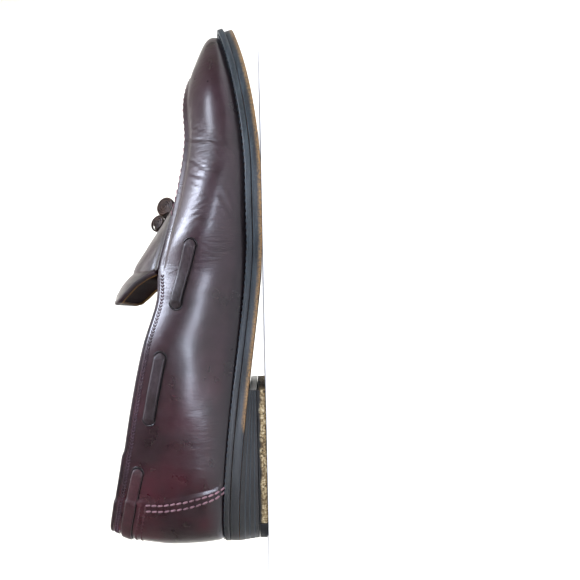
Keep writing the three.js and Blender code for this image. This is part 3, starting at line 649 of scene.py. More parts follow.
def drape(name: str, columns: int, rows: int, place: Place, sealed: bool = False) -> bpy.types.Object:
    """Lays a grid primitive over a surface.

    Args:
        name: the piece's name.
        columns: faces along the first parameter.
        rows: faces along the second.
        place: gives row-frame points in metres from parameters of 0 to 1.
        sealed: closes the sheet's open ends and fills what is left open.

    Returns:
        The new piece, at the origin.
    """
    deselect()
    bpy.ops.mesh.primitive_grid_add(x_subdivisions=columns, y_subdivisions=rows, size=1.0)
    piece = bpy.context.object
    piece.name = name
    flat = coordinates(piece)
    points = place(flat[:, 0] + 0.5, flat[:, 1] + 0.5)
    piece.data.vertices.foreach_set("co", np.ascontiguousarray(points, dtype=float).ravel())
    bpy.ops.object.mode_set(mode="EDIT")
    bpy.ops.mesh.select_all(action="SELECT")
    bpy.ops.mesh.remove_doubles(threshold=2e-6)
    if sealed:
        bpy.ops.mesh.select_all(action="DESELECT")
        bpy.ops.mesh.select_mode(type="EDGE")
        bpy.ops.mesh.select_non_manifold()
        bpy.ops.mesh.fill_holes(sides=0)
        bpy.ops.mesh.select_mode(type="VERT")
        bpy.ops.mesh.select_all(action="SELECT")
        bpy.ops.mesh.normals_make_consistent(inside=False)
    bpy.ops.object.mode_set(mode="OBJECT")
    bpy.ops.object.shade_smooth()
    return piece


def modify(piece: bpy.types.Object, kind: str, **settings: object) -> None:
    """Adds a modifier and applies it."""
    activate(piece)
    modifier = piece.modifiers.new(kind.lower(), kind)
    for name, value in settings.items():
        setattr(modifier, name, value)
    bpy.ops.object.modifier_apply(modifier=modifier.name)


def thicken(piece: bpy.types.Object, thickness: float, inner: int = 0, rim: int = 0) -> None:
    """Gives a sheet a wall on its inner side, with material slots for its inner face and rim."""
    modify(piece, "SOLIDIFY", thickness=thickness * MM, offset=-1.0, material_offset=inner,
           material_offset_rim=rim, use_rim=True)


def soften(piece: bpy.types.Object, width: float, segments: int = 2, angle: float = 40.0) -> None:
    """Rounds the sharp edges of a piece and shades it smooth."""
    modify(piece, "BEVEL", width=width * MM, segments=segments, limit_method="ANGLE",
           angle_limit=math.radians(angle), harden_normals=False)
    activate(piece)
    bpy.ops.object.shade_smooth_by_angle(angle=math.radians(angle))


def join(pieces: list[bpy.types.Object], name: str) -> bpy.types.Object:
    """Makes several pieces one mesh under a new name."""
    deselect()
    for piece in pieces:
        piece.select_set(True)
    bpy.context.view_layer.objects.active = pieces[0]
    bpy.ops.object.join()
    joined = bpy.context.object
    joined.name = name
    return joined


def paint(piece: bpy.types.Object, name: str, values: Array) -> None:
    """Stores one value for each vertex."""
    attribute = piece.data.attributes.new(name, "FLOAT", "POINT")
    attribute.data.foreach_set("value", np.ascontiguousarray(values, dtype=np.float32))


def finish_piece(piece: bpy.types.Object, slot: str, *materials: bpy.types.Material,
                 stands_for: tuple = ()) -> None:
    """Dresses a piece, lets it ride on the body and hides the nodes it stands for."""
    if not piece.data.materials:
        for material in materials:
            piece.data.materials.append(material)
    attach(piece, "root")
    if stands_for:
        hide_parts(*stands_for)
    log.info("%s: %d faces", piece.name, len(piece.data.polygons))


def copies(name: str, model: bpy.types.Object, centres: Array, bases: Array) -> bpy.types.Object:
    """Joins copies of a small model into one mesh.

    Args:
        name: the new piece's name.
        model: the mesh that is copied; it is removed.
        centres: where each copy goes, in metres.
        bases: the three axes of each copy, as rows.

    Returns:
        The joined piece.
    """
    corners = coordinates(model)
    faces = [tuple(face.vertices) for face in model.data.polygons]
    count = len(corners)
    points = (np.einsum("vi,kij->kvj", corners, bases) + centres[:, None, :]).reshape(-1, 3)
    every = [tuple(i + k * count for i in face) for k in range(len(centres)) for face in faces]
    mesh = bpy.data.meshes.new(name)
    mesh.from_pydata(points.tolist(), [], every)
    mesh.validate()
    piece = bpy.data.objects.new(name, mesh)
    bpy.context.collection.objects.link(piece)
    bpy.data.objects.remove(model, do_unlink=True)
    activate(piece)
    bpy.ops.object.shade_smooth()
    return piece


def bead(length: float, width: float, height: float) -> bpy.types.Object:
    """One stitch: a rounded bead along X, in millimetres."""
    deselect()
    bpy.ops.mesh.primitive_uv_sphere_add(segments=8, ring_count=5, radius=1.0)
    model = bpy.context.object
    points = coordinates(model)[:, [2, 0, 1]]
    points[:, 0] = np.sign(points[:, 0]) * np.abs(points[:, 0]) ** 0.6
    points *= np.array([length, width, height]) * MM / 2
    model.data.vertices.foreach_set("co", np.ascontiguousarray(points).ravel())
    bpy.ops.object.mode_set(mode="EDIT")
    bpy.ops.mesh.select_all(action="SELECT")
    bpy.ops.mesh.normals_make_consistent(inside=False)
    bpy.ops.object.mode_set(mode="OBJECT")
    return model


def along_path(points: Array, normals: Array, pitch: float, skew: float = 0.0) -> tuple[Array, Array]:
    """Spreads copies evenly along a path.

    Args:
        points: the path in metres.
        normals: outward normals along it.
        pitch: distance from copy to copy in millimetres.
        skew: angle in degrees by which each copy turns on the surface.

    Returns:
        Centres and bases for the copies.
    """
    steps = np.linalg.norm(np.diff(points, axis=0), axis=1)
    walked = np.concatenate([[0.0], np.cumsum(steps)])
    count = max(int(walked[-1] / (pitch * MM)), 2)
    stops = (np.arange(count) + 0.5) / count * walked[-1]
    centre = np.stack([np.interp(stops, walked, points[:, k]) for k in range(3)], axis=1)
    normal = unit(np.stack([np.interp(stops, walked, normals[:, k]) for k in range(3)], axis=1))
    tangent = np.gradient(points, axis=0)
    ahead = np.stack([np.interp(stops, walked, tangent[:, k]) for k in range(3)], axis=1)
    ahead = unit(ahead - normal * np.sum(ahead * normal, axis=1, keepdims=True))
    side = np.cross(normal, ahead)
    turn = math.radians(skew)
    turned = ahead * math.cos(turn) + side * math.sin(turn)
    return centre, np.stack([turned, np.cross(normal, turned), normal], axis=1)


@dataclass
class Crease:
    """A fold in the leather, as a line seen from the side, in millimetres."""

    line: tuple[tuple[float, float], ...]
    depth: float
    width: float
    ridge: float = 0.5
    strength: float = 0.33

    def relief(self, x: Array, z: Array) -> tuple[Array, Array]:
        """The fold's height and its shade at places.

        Args:
            x: places along the shoe.
            z: heights, or places across the apron.

        Returns:
            Offsets in millimetres, and shares of shade.
        """
        best = np.full(x.shape, 1e9)
        offset = np.zeros(x.shape)
        fade = np.zeros(x.shape)
        total = len(self.line) - 1
        for k, ((x0, z0), (x1, z1)) in enumerate(zip(self.line, self.line[1:])):
            dx, dz = x1 - x0, z1 - z0
            size = dx * dx + dz * dz
            share = np.clip(((x - x0) * dx + (z - z0) * dz) / size, 0, 1)
            away = np.hypot(x - x0 - share * dx, z - z0 - share * dz)
            signed = ((x - x0) * dz - (z - z0) * dx) / math.sqrt(size)
            nearer = away < best
            best = np.where(nearer, away, best)
            offset = np.where(nearer, signed, offset)
            fade = np.where(nearer, (k + share) / total, fade)
        ends = np.sin(np.pi * np.clip(fade, 0.04, 0.96)) ** 0.6
        trough = bump(best, self.width)
        lips = bump(np.abs(best) - 1.9 * self.width, self.width) * (0.6 + 0.4 * np.sign(offset))
        height = self.depth * self.strength
        return ends * height * (self.ridge * lips - trough), ends * trough * min(height / 0.9, 1.0)


# Places along the shoe and heights; on the apron, places across it
MEDIAL_CREASES = (
    Crease(((224.0, 38.0), (221.2, 33.0), (220.6, 29.3), (220.1, 25.2), (219.2, 21.1), (215.7, 16.2),
            (213.2, 12.5)), 0.62, 1.05),
    Crease(((226.4, 36.0), (223.6, 31.0), (222.6, 26.0), (221.5, 21.5), (218.4, 17.0)), 0.22, 0.7),
    Crease(((222.5, 30.0), (221.3, 26.8), (218.2, 22.1), (214.5, 18.8), (210.6, 15.0)), 0.36, 0.9),
    Crease(((218.0, 27.0), (215.6, 22.6), (211.5, 19.3), (207.9, 17.0)), 0.26, 0.8),
    Crease(((220.4, 22.0), (217.8, 18.5), (215.0, 14.0)), 0.26, 0.8),
    Crease(((230.0, 36.5), (226.8, 31.0), (226.0, 25.0), (224.0, 19.5)), 0.2, 1.1),
    Crease(((212.5, 38.0), (210.7, 34.5), (206.5, 29.6), (205.6, 25.5), (203.9, 22.1)), 0.46, 0.95),
    Crease(((214.2, 34.6), (209.3, 30.5), (207.8, 26.0)), 0.2, 0.7),
    Crease(((206.0, 38.5), (202.5, 33.0), (201.0, 28.0)), 0.24, 0.9),
    Crease(((200.6, 37.0), (197.5, 31.0), (196.5, 26.0)), 0.14, 0.8),
    Crease(((179.6, 40.0), (183.7, 32.2), (186.7, 25.1)), 0.15, 0.9),
    Crease(((176.2, 39.0), (180.3, 31.6), (183.0, 24.8)), 0.13, 0.9),
    Crease(((183.6, 38.5), (187.4, 31.2), (190.0, 25.0)), 0.13, 0.9),
    Crease(((187.2, 37.5), (190.6, 31.0), (193.0, 26.0)), 0.11, 0.9),
    Crease(((173.6, 36.0), (177.4, 29.5), (180.0, 23.5)), 0.1, 0.9),
    Crease(((193.5, 21.4), (186.5, 17.6), (180.5, 15.0)), 0.4, 1.1),
    Crease(((197.0, 17.4), (190.0, 14.6), (183.0, 12.9)), 0.3, 1.0),
    Crease(((172.5, 21.4), (173.6, 16.5), (174.0, 11.9)), 0.3, 0.9),
    Crease(((168.2, 22.0), (169.0, 16.5), (169.8, 12.0)), 0.26, 0.9),
    Crease(((163.8, 20.0), (164.6, 15.5), (165.0, 12.0)), 0.18, 0.9),
    Crease(((169.7, 33.5), (165.4, 28.0), (163.4, 23.4)), 0.2, 0.8),
    Crease(((165.2, 31.5), (161.4, 26.4), (159.4, 21.5)), 0.18, 0.8),
    Crease(((78.4, 47.5), (80.3, 33.8), (83.4, 21.8)), 0.16, 1.3),
    Crease(((74.5, 36.6), (78.0, 26.8), (82.5, 17.7)), 0.2, 1.2),
    Crease(((90.0, 24.5), (97.0, 19.8), (106.0, 16.5)), 0.16, 1.2),
)
LATERAL_CREASES = (
    Crease(((223.0, 38.0), (220.2, 31.0), (219.6, 25.3), (216.4, 18.0), (212.2, 12.5)), 0.6, 1.1),
    Crease(((225.4, 36.0), (222.8, 30.0), (221.8, 24.3), (219.0, 18.0)), 0.22, 0.8),
    Crease(((214.0, 38.0), (211.4, 31.0), (208.8, 24.0), (204.8, 17.0)), 0.45, 1.0),
    Crease(((228.5, 35.0), (226.3, 28.0), (223.0, 20.5)), 0.25, 1.0),
    Crease(((206.0, 38.0), (202.4, 31.0), (200.0, 24.0)), 0.3, 0.9),
    Crease(((197.0, 22.0), (188.0, 17.0), (178.0, 13.5)), 0.36, 1.2),
    Crease(((176.0, 36.0), (170.0, 28.0), (168.0, 20.0)), 0.25, 0.9),
    Crease(((84.0, 46.0), (86.0, 32.0), (90.0, 22.0)), 0.2, 1.5),
    Crease(((72.0, 38.0), (76.0, 28.0), (82.0, 19.0)), 0.2, 1.3),
)
APRON_CREASES = (
    Crease(((223.5, 32.0), (226.5, 14.0), (227.0, -4.0), (224.5, -33.0)), 0.5, 1.4),
    Crease(((213.5, 34.0), (216.8, 15.0), (217.2, -6.0), (213.0, -33.0)), 0.4, 1.3),
    Crease(((205.5, 34.0), (208.2, 18.0), (208.4, 2.0)), 0.3, 1.2),
    Crease(((207.5, -4.0), (206.0, -18.0), (203.0, -32.0)), 0.28, 1.2),
    Crease(((234.0, 22.0), (235.5, 6.0), (234.0, -18.0)), 0.22, 1.5),
)

# Where the leather bends: place along and up, extent along and up, and strength
FLEX = (
    (218.0, 25.0, 14.0, 12.0, 1.0), (186.0, 28.0, 11.0, 11.0, 0.9), (168.0, 17.0, 9.0, 8.0, 0.9),
    (160.0, 27.0, 9.0, 9.0, 0.5), (118.0, 42.0, 22.0, 12.0, 0.35), (80.0, 26.0, 12.0, 14.0, 0.4),
    (152.0, 44.0, 9.0, 8.0, 0.45), (148.0, 54.0, 20.0, 9.0, 0.45),
)


@dataclass(frozen=True)
class Bar:
    """One visible length of the collar lace: ends as section rows and shares of the back height."""

    name: str
    from_row: float
    from_height: float
    to_row: float
    to_height: float


BARS = (
    Bar("front", 7.85, 0.416, 5.77, 0.530),
    Bar("middle", 4.88, 0.620, 3.69, 0.712),
)
BACK_BAR_ROW = 2.98
BACK_BAR_END = 0.780
BACK_BAR_CREST = 0.911


@dataclass
class Upper:
    """Vamp, quarters, apron and tongue in one shell of calf with its lining."""

    last: Last
    finishes: Finishes
    wall: float = 1.9
    seam_rise: float = 0.95
    counter_step: float = 0.8
    band_step: float = 0.35
    kink_at: float = 57.5
    kink_rise: float = 0.9
    tongue_share: float = 0.16
    counter_line: tuple = ((20.0, 41.2), (28.6, 37.0), (44.0, 33.0), (56.0, 30.8), (80.0, 30.0))

    def counter_x(self, z: Array) -> Array:
        """Where the counter's seam crosses a height."""
        heights, places = zip(*self.counter_line)
        return np.interp(z, heights, places)

    def band_z(self, x: Array) -> Array:
        """Height of the heel band's lower edge."""
        return 74.0 - 0.26 * np.clip(x - 2.0, 0.0, 40.0)

    def relief(self, point: Array, t: Array, v: Array) -> tuple[Array, Array]:
        """Height and shade of the wall's forms.

        Args:
            point: places on the plain wall.
            t: their loop parameters.
            v: their shares up the wall.

        Returns:
            Offsets in millimetres, and shares of shade.
        """
        x, y, z = point[:, 0], point[:, 1], point[:, 2]
        shade = np.zeros(len(x))
        step = smooth(self.counter_x(z) + 1.1 - x, -0.85, 0.85)
        offset = self.counter_step * step * smooth(v, 0.0, 0.05)
        offset += self.band_step * step * smooth(z - self.band_z(x), -0.5, 0.5)
        top = self.last.top_edge.at(t)
        down = np.linalg.norm(top - point, axis=1)
        ridge = smooth(0.5 - np.abs(np.mod(t, 1.0) - 0.5), row_t(THROAT_ROW - 0.15), row_t(THROAT_ROW + 0.25))
        row = np.minimum(np.mod(t, 1.0), np.mod(-t, 1.0)) * 2 * TOE_ROW
        height = self.seam_rise * (0.08 + 0.92 * smooth(row, 7.8, 9.4)) * (1 - 0.55 * smooth(row, 11.6, 13.2))
        offset += ridge * (height * bump(down, 1.5) - 0.3 * bump(down - 3.4, 1.1))
        for creases, side in ((MEDIAL_CREASES, -1), (LATERAL_CREASES, 1)):
            here = np.sign(y) == side
            for crease in creases:
                height, dark = crease.relief(x[here], z[here])
                offset[here] += height
                shade[here] = np.maximum(shade[here], dark)
        soft = smooth(v, 0.05, 0.3) * (1 - smooth(v, 0.8, 1.0))
        waves = np.sin(x * 0.16 + z * 0.09) * np.sin(z * 0.21 - x * 0.05 + 0.6 * np.sign(y))
        offset += 0.12 * soft * waves
        return offset, shade

    def skin(self, t: Array, v: Array) -> tuple[Array, Array, Array]:
        """Points, normals and shade of the wall's outer face, in millimetres."""
        point = self.last.wall_at(t, v)
        normal = self.last.wall_normal(t, np.minimum(v, 0.999))
        offset, shade = self.relief(point, t, v)
        rise = self.kink_rise * smooth(self.kink_at - point[:, 0], -2.4, 2.4) * smooth(v, 0.88, 1.0)
        return point + normal * offset[:, None] + UP * rise[:, None], normal, shade

    def wall_piece(self) -> None:
        """The wall all round: vamp and quarters, with the counter and the seam's ridge."""
        t = np.linspace(0, 1, 401)
        x = self.last.sole_edge.at(t)[:, 0]
        density = 0.6 + 1.4 * bump(x - 206, 32) + 0.7 * smooth(-x, -60, -20)
        walked = np.cumsum(density * np.linalg.norm(np.gradient(self.last.sole_edge.at(t), axis=0), axis=1))
        stations = (walked - walked[0]) / (walked[-1] - walked[0])

        def place(u: Array, v: Array) -> Array:
            """Points of the wall and its collar, round from the back and up."""
            t = np.interp(u, stations, np.linspace(0, 1, len(stations)))
            point, _, _ = self.skin(1 - t, 1 - (1 - v) ** 1.3)
            return self.last.to_row(point)

        piece = drape("vamp_and_quarters", 620, 64, place)
        self.store_shade(piece)
        for material in (self.finishes.calf, self.finishes.lining):
            piece.data.materials.append(material)
        thicken(piece, self.wall, inner=1)
        finish_piece(piece, "leather", stands_for=("upper",))

    def store_shade(self, piece: bpy.types.Object) -> None:
        """Keeps the creases' shade on the mesh, worked out again from each vertex's place."""
        place = coordinates(piece) / MM - self.last.shift
        x, y, z = place.T
        shade = np.zeros(len(x))
        on_apron = piece.name.startswith("apron")
        groups = ((APRON_CREASES, 0),) if on_apron else ((MEDIAL_CREASES, -1), (LATERAL_CREASES, 1))
        for creases, side in groups:
            here = np.sign(y) == side if side else np.ones(len(x), bool)
            for crease in creases:
                dark = crease.relief(x[here], y[here] if on_apron else z[here])[1]
                shade[here] = np.maximum(shade[here], dark)
        paint(piece, "crease", shade)
        flex = np.full(len(x), 0.08)
        for along, high, wide, tall, share in FLEX:
            reach = np.zeros(len(x)) if on_apron else (z - high) / tall
            flex += share * np.exp(-((x - along) / wide) ** 2 - reach ** 2) * (0.5 if on_apron else 1.0)
        paint(piece, "flex", np.clip(flex, 0, 1))

    def apron_piece(self) -> None:
        """The apron with the tongue that runs on behind it."""
        last = self.last
        throat = row_t(THROAT_ROW)

        def place(u: Array, v: Array) -> Array:
            """Points of the tongue and the apron, from rear to toe and across."""
            w = 1 - v
            on_tongue = u < self.tongue_share
            t = throat + (0.5 - throat) * np.clip((u - self.tongue_share) / (1 - self.tongue_share), 0, 1)
            point = last.apron_at(t, w)
            normal = last.apron_normal(np.maximum(t, throat + 1e-3), np.clip(w, 0.002, 0.998))
            width = np.linalg.norm(last.top_edge.at(t) - last.top_edge.at(1 - t), axis=1)
            edge = np.minimum(w, 1 - w) * width
            lift = 0.75 * bump(edge, 1.1) - 0.55 * bump(edge - 2.1, 0.9)
            lift *= 1 - 0.8 * smooth(t * 2 * TOE_ROW, 11.2, 13.0)
            for crease in APRON_CREASES:
                lift += crease.relief(point[:, 0], point[:, 1])[0] * smooth(edge, 1.0, 5.0)
            point = point + normal * (lift * np.where(on_tongue, 0.0, 1.0))[:, None]
            share = np.clip(1 - u / self.tongue_share, 0, 1)
            tongue = last.tongue_at(share, w)
            return last.to_row(np.where(on_tongue[:, None], tongue, point))

        piece = drape("apron_and_tongue", 170, 72, place)
        self.store_shade(piece)
        for material in (self.finishes.calf, self.finishes.lining, self.finishes.binding):
            piece.data.materials.append(material)
        thicken(piece, self.wall, inner=1, rim=2)
        finish_piece(piece, "leather", stands_for=("tongue",))

    def tongue_edge(self) -> None:
        """The rolled edge of the tongue and the pale cut line inside it."""
        last = self.last
        share = np.concatenate([np.linspace(0.03, 1, 60), np.ones(60), np.linspace(1, 0.03, 60)])
        w = np.concatenate([np.zeros(60), np.linspace(0, 1, 60), np.ones(60)])
        inside = np.clip(share, 0.03, 0.985)
        across = 0.5 + (w - 0.5) * 0.985
        for name, depth, size, material in (
            ("tongue_roll", 0.8, 1.25, self.finishes.binding),
            ("tongue_cut_line", 1.9, 0.8, self.finishes.raw_edge),
        ):
            edge = last.tongue_at(share, w)
            within = last.tongue_at(inside, across)
            normal = -unit(np.cross(
                last.tongue_at(inside + 0.01, across) - last.tongue_at(inside - 0.01, across),
                last.tongue_at(inside, across + 0.01) - last.tongue_at(inside, across - 0.01),
            ))
            normal *= np.sign(normal[:, 2:3])
            inward = unit(within - edge + 1e-6)
            inward = unit(inward - normal * np.sum(inward * normal, axis=1, keepdims=True))
            shift = -0.2 if name == "tongue_roll" else -0.15
            line = edge + inward * shift - normal * depth
            for _ in range(3):
                line[1:-1] = (line[:-2] + 2 * line[1:-1] + line[2:]) / 4
            piece = strap(name, last.to_row(line), normal, size * 2, size * 2, 240)
            finish_piece(piece, "leather", material)

    def binding_piece(self) -> None:
        """The rolled binding on the collar's edge, from the throat round the heel and back."""
        last = self.last
        throat = row_t(THROAT_ROW)

        def place(u: Array, v: Array) -> Array:
            """Points of the binding, along the collar's edge and round its roll."""
            t = 1 - throat + 2 * throat * u + 1e-4
            top, normal, _ = self.skin(np.mod(t, 1.0), np.full_like(t, 0.999))
            below = last.wall_at(t, np.full_like(t, 0.97))
            up = unit(last.top_edge.at(t) - below)
            ends = np.sqrt(np.clip(np.sin(np.pi * np.clip(u, 0.0, 1.0)) * 14, 0, 1))
            angle = 2 * np.pi * v
            across = np.cos(angle) * (self.wall / 2 + 0.35) * ends - self.wall / 2 + 0.05
            rise = (np.sin(angle) * 1.25 - 0.35) * ends
            return last.to_row(top + normal * across[:, None] + up * rise[:, None])

        piece = drape("collar_binding", 420, 14, place, sealed=True)
        finish_piece(piece, "leather", self.finishes.binding)

    def speck(self) -> None:
        """The small dark pit on the vamp near the toe."""
        t, v = self.last.locate(np.array([251.5]), np.array([26.4]), Side.MEDIAL)
        point, normal, _ = self.skin(np.mod(t, 1.0), v)
        side = np.cross(normal, UP)
        bases = np.stack([unit(side), unit(np.cross(normal, side)), normal], axis=1)
        piece = copies("vamp_pit", bead(1.1, 0.9, 0.25), self.last.to_row(point), bases)
        finish_piece(piece, "leather", self.finishes.slit)

    def build(self) -> None:
        """Builds the upper's pieces."""
        self.speck()
        self.wall_piece()
        self.apron_piece()
        self.tongue_edge()
        self.binding_piece()


@dataclass
class Stitching:
    """Every row of stitches: the apron's hand seam, the counter, the collar and the welt."""

    last: Last
    upper: Upper
    finishes: Finishes

    def run(self, name: str, t: Array, v: Array, size: tuple, pitch: float, skew: float,
            material: bpy.types.Material, lift: float = 0.1) -> None:
        """One row of stitches along places on the wall."""
        point, normal, _ = self.upper.skin(np.mod(t, 1.0), v)
        path = self.last.to_row(point + normal * lift)
        centres, bases = along_path(path, normal, pitch, skew)
        piece = copies(name, bead(*size), centres, bases)
        finish_piece(piece, "leather", material)

    def apron_seam(self) -> None:
        """Pale hand stitches over the ridge, from one throat corner round the toe to the other."""
        t = np.linspace(row_t(8.5), 1 - row_t(8.5), 500)
        point = self.last.top_edge.at(t)
        normal = self.last.wall_normal(t, np.full_like(t, 0.999))
        inward = unit(self.last.top_edge.at(1 - t) - point + 1e-9)
        path = self.last.to_row(point + normal * (self.upper.seam_rise - 0.1) + inward * 0.3)
        centres, bases = along_path(path, unit(normal + UP * 0.6), 3.7, 24)
        piece = copies("apron_seam_stitches", bead(3.1, 1.0, 0.9), centres, bases)
        finish_piece(piece, "leather", self.finishes.pink_thread)

    def counter_rows(self) -> None:
        """Two rows of pinkish stitches down the counter's seam, on both sides."""
        for side in Side:
            for number, behind in ((1, 0.9), (2, 4.4)):
                z = np.linspace(66.0, 21.5, 60)
                x = self.upper.counter_x(z) - behind * (1 - 0.3 * smooth(-z, -40, -20))
                t, v = self.last.locate(x, z, side)
                name = f"counter_stitches_{side.name.lower()}_{number}"
                self.run(name, t, v, (3.1, 1.25, 0.9), 3.5, 8, self.finishes.pink_thread, 0.2)

    def collar_rows(self) -> None:
        """Two fine rows under the collar's binding and one along the heel band's lower edge."""
        t = np.linspace(1 - row_t(THROAT_ROW) + 0.006, 1 + row_t(THROAT_ROW) - 0.006, 700)
        height = np.linalg.norm(self.last.wall_at(t, np.zeros_like(t)) - self.last.top_edge.at(t), axis=1)
        for number, down, skew in ((1, 2.9, 32), (2, 4.1, -32)):
            self.run(f"collar_stitches_{number}", t, 1 - down / height, (1.9, 0.8, 0.65), 1.8, skew,
                     self.finishes.dark_thread, 0.1)
        t = row_t(np.linspace(-2.12, 2.12, 260))
        x = self.last.wall_at(np.mod(t, 1.0), np.full_like(t, 0.75))[:, 0]
        for number, above in ((1, 1.5), (2, -1.6)):
            v = self.last.height_share(t, self.upper.band_z(x) + above)
            self.run(f"heel_band_stitches_{number}", t, v, (2.2, 0.9, 0.65), 2.5, 14,
                     self.finishes.red_thread, 0.1)

    def welt_row(self) -> None:
        """The welt's stitches, a row of small bumps round its upper face."""
        t = np.linspace(0.03, 0.97, 1200)
        point = self.last.inset_edge(t, 0.55 * self.last.reveal(self.last.sole_edge.at(t)[:, 0]))
        point[:, 2] = self.last.welt_top(point[:, 0]) + 0.05
        normal = np.broadcast_to(UP, point.shape)
        centres, bases = along_path(self.last.to_row(point), normal, 3.3, 0)
        piece = copies("welt_stitches", bead(2.5, 0.9, 0.8), centres, bases)
        finish_piece(piece, "sole_edge", self.finishes.welt_thread)

    def build(self) -> None:
        """Builds every row."""
        self.apron_seam()
        self.counter_rows()
        self.collar_rows()
        self.welt_row()


@dataclass
class Sole:
    """Outsole, welt, stacked heel with its worn top piece and rubber tip, and the footbed."""

    last: Last
    finishes: Finishes
    heel_length: float = 90.5
    heel_taper: float = 1.4
    top_lift: float = 4.5
    rubber_tip: float = 17.0
    footbed: float = 6.0
    grooves: tuple = (0.22, 0.48, 0.72)

    def band(self, u: Array, v: Array, inset: Array) -> Array:
        """Points across the sole, from the heel's back at u 0 to the toe at u 1."""
        lateral = self.last.inset_edge(u / 2, inset)
        medial = self.last.inset_edge(1 - u / 2, inset)
        return lateral + (medial - lateral) * v[:, None]

    def outsole_piece(self) -> None:
        """The leather outsole with its inked edge."""
        def place(u: Array, v: Array) -> Array:
            """Points of the sole's underside, round and inward."""
            point = self.band(u, v, 0.0)
            point[:, 2] = self.last.tread(point[:, 0])
            return self.last.to_row(point)

        piece = drape("leather_outsole", 190, 26, place)
        for material in (self.finishes.sole_bottom, self.finishes.inked):
            piece.data.materials.append(material)
        thicken(piece, self.last.outsole, rim=1)
        soften(piece, 0.6, angle=50)
        place = coordinates(piece) / MM - self.last.shift
        low = 1 - smooth(place[:, 2] - self.last.tread(place[:, 0]), 0.7, 1.4)
        paint(piece, "worn", low * smooth(place[:, 0], 60.0, 74.0))
        finish_piece(piece, "sole_edge", stands_for=("outsole",))

    def welt_piece(self) -> None:
        """The welt round the whole edge."""
        def place(u: Array, v: Array) -> Array:
            """Points of the welt, round and inward from its edge."""
            t = 1 - u
            x = self.last.sole_edge.at(t)[:, 0]
            point = self.last.inset_edge(t, v * (self.last.reveal(x) + self.last.wall))
            point[:, 2] = self.last.welt_top(point[:, 0])
            return self.last.to_row(point)

        piece = drape("welt_strip", 520, 5, place)
        thicken(piece, self.last.welt)
        soften(piece, 0.5, angle=50)
        finish_piece(piece, "sole_edge", self.finishes.inked, stands_for=("welt",))

    def station(self, x: float) -> float:
        """The lateral loop parameter at which the sole's edge reaches a place along the shoe."""
        t = np.linspace(0.0, 0.5, 4000)
        return float(np.interp(x, np.maximum.accumulate(self.last.sole_edge.at(t)[:, 0]), t))

    def outline(self, q: Array, inset: Array, back: float, front: float) -> Array:
        """A heel piece's outline, from its front lateral corner round its back.

        Args:
            q: places round the outline, 0 to 1.
            inset: how far it lies inside the sole's edge.
            back: where it starts along the shoe.
            front: where it ends.

        Returns:
            Points at height zero.
        """
        near, far = self.station(back) if back > 0 else 0.0, self.station(front)
        side = np.linspace(far, near, 160)
        steps = np.concatenate([side, 1 - side[::-1]])
        line = self.last.sole_edge.at(steps)
        line = np.concatenate([line, line[:1]])
        walked = np.concatenate([[0.0], np.cumsum(np.linalg.norm(np.diff(line, axis=0), axis=1))])
        walked /= walked[-1]
        index = np.interp(np.mod(q, 1.0), walked, np.arange(len(walked)))
        first = np.floor(index).astype(int)
        share = (index - first)[:, None]
        inset = np.broadcast_to(inset, q.shape)
        closed = np.concatenate([steps, steps[:1]])
        start = self.last.inset_edge(closed[first], inset)
        end = self.last.inset_edge(closed[np.minimum(first + 1, len(steps))], inset)
        return start + (end - start) * share

    def heel_piece(self) -> None:
        """The stacked lifts with their pressed grooves."""
        low = self.top_lift + self.last.gap
        profile = [(0.0, 0.0)]
        for share in self.grooves:
            profile += [(share - 0.035, 0.0), (share, 0.28), (share + 0.035, 0.0)]
        profile += [(1.0, 0.0)]
        heights, depths = (np.array(column) for column in zip(*profile))

        def place(u: Array, v: Array) -> Array:
            """Points of the lifts' wall, round and up, with the grooves."""
            inset = self.heel_taper * (1 - v) + np.interp(v, heights, depths)
            point = self.outline(1 - u, inset, 0.0, self.heel_length)
            top = self.last.tread(point[:, 0]) - self.last.gap
            point[:, 2] = low + (top - low) * v
            return self.last.to_row(point)

        piece = drape("heel_lifts", 300, 66, place, sealed=True)
        soften(piece, 0.25, 1, 60)
        point = coordinates(piece) / MM
        x = point[:, 0] - self.last.shift[0]
        share = (point[:, 2] - low) / (self.last.tread(x) - self.last.gap - low)
        lines = sum(bump(share - groove, 0.03) for groove in self.grooves)
        paint(piece, "crease", np.clip(lines, 0, 1) * 0.8)
        finish_piece(piece, "sole_edge", self.finishes.inked_lifts, stands_for=("heel_stack",))

    def lift_piece(self, name: str, back: float, front: float, node: str, slot: str,
                   material: bpy.types.Material) -> None:
        """A piece of the heel's bottom layer."""
        def place(u: Array, v: Array) -> Array:
            """Points of the layer's wall, round and up."""
            inset = self.heel_taper + 0.9 * smooth(0.16 - v, 0.0, 0.16)
            point = self.outline(1 - u, inset, back, front)
            point[:, 2] = v * self.top_lift
            return self.last.to_row(point)

        piece = drape(name, 220, 12, place, sealed=True)
        soften(piece, 0.3, 2, 50)
        finish_piece(piece, slot, material, stands_for=(node,))

    def footbed_piece(self) -> None:
        """The insole, dished at the heel and the ball where a foot has pressed it."""
        def place(u: Array, v: Array) -> Array:
            """Points of the insole, lengthwise and across."""
            x = self.last.sole_edge.at(u / 2)[:, 0]
            point = self.band(u, 1 - v, self.last.reveal(x) + self.last.wall + 2 * self.last.gap)
            dish = 1.2 * bump(point[:, 0] - 42, 28) + 0.8 * bump(point[:, 0] - 195, 30)
            inside = 4 * v * (1 - v)
            base = self.last.outsole_top(point[:, 0]) + self.last.gap
            point[:, 2] = base + self.footbed - dish * inside
            return self.last.to_row(point)

        piece = drape("footbed", 150, 24, place)
        thicken(piece, self.footbed + self.last.gap)
        finish_piece(piece, "lining", self.finishes.footbed, stands_for=("insole",))

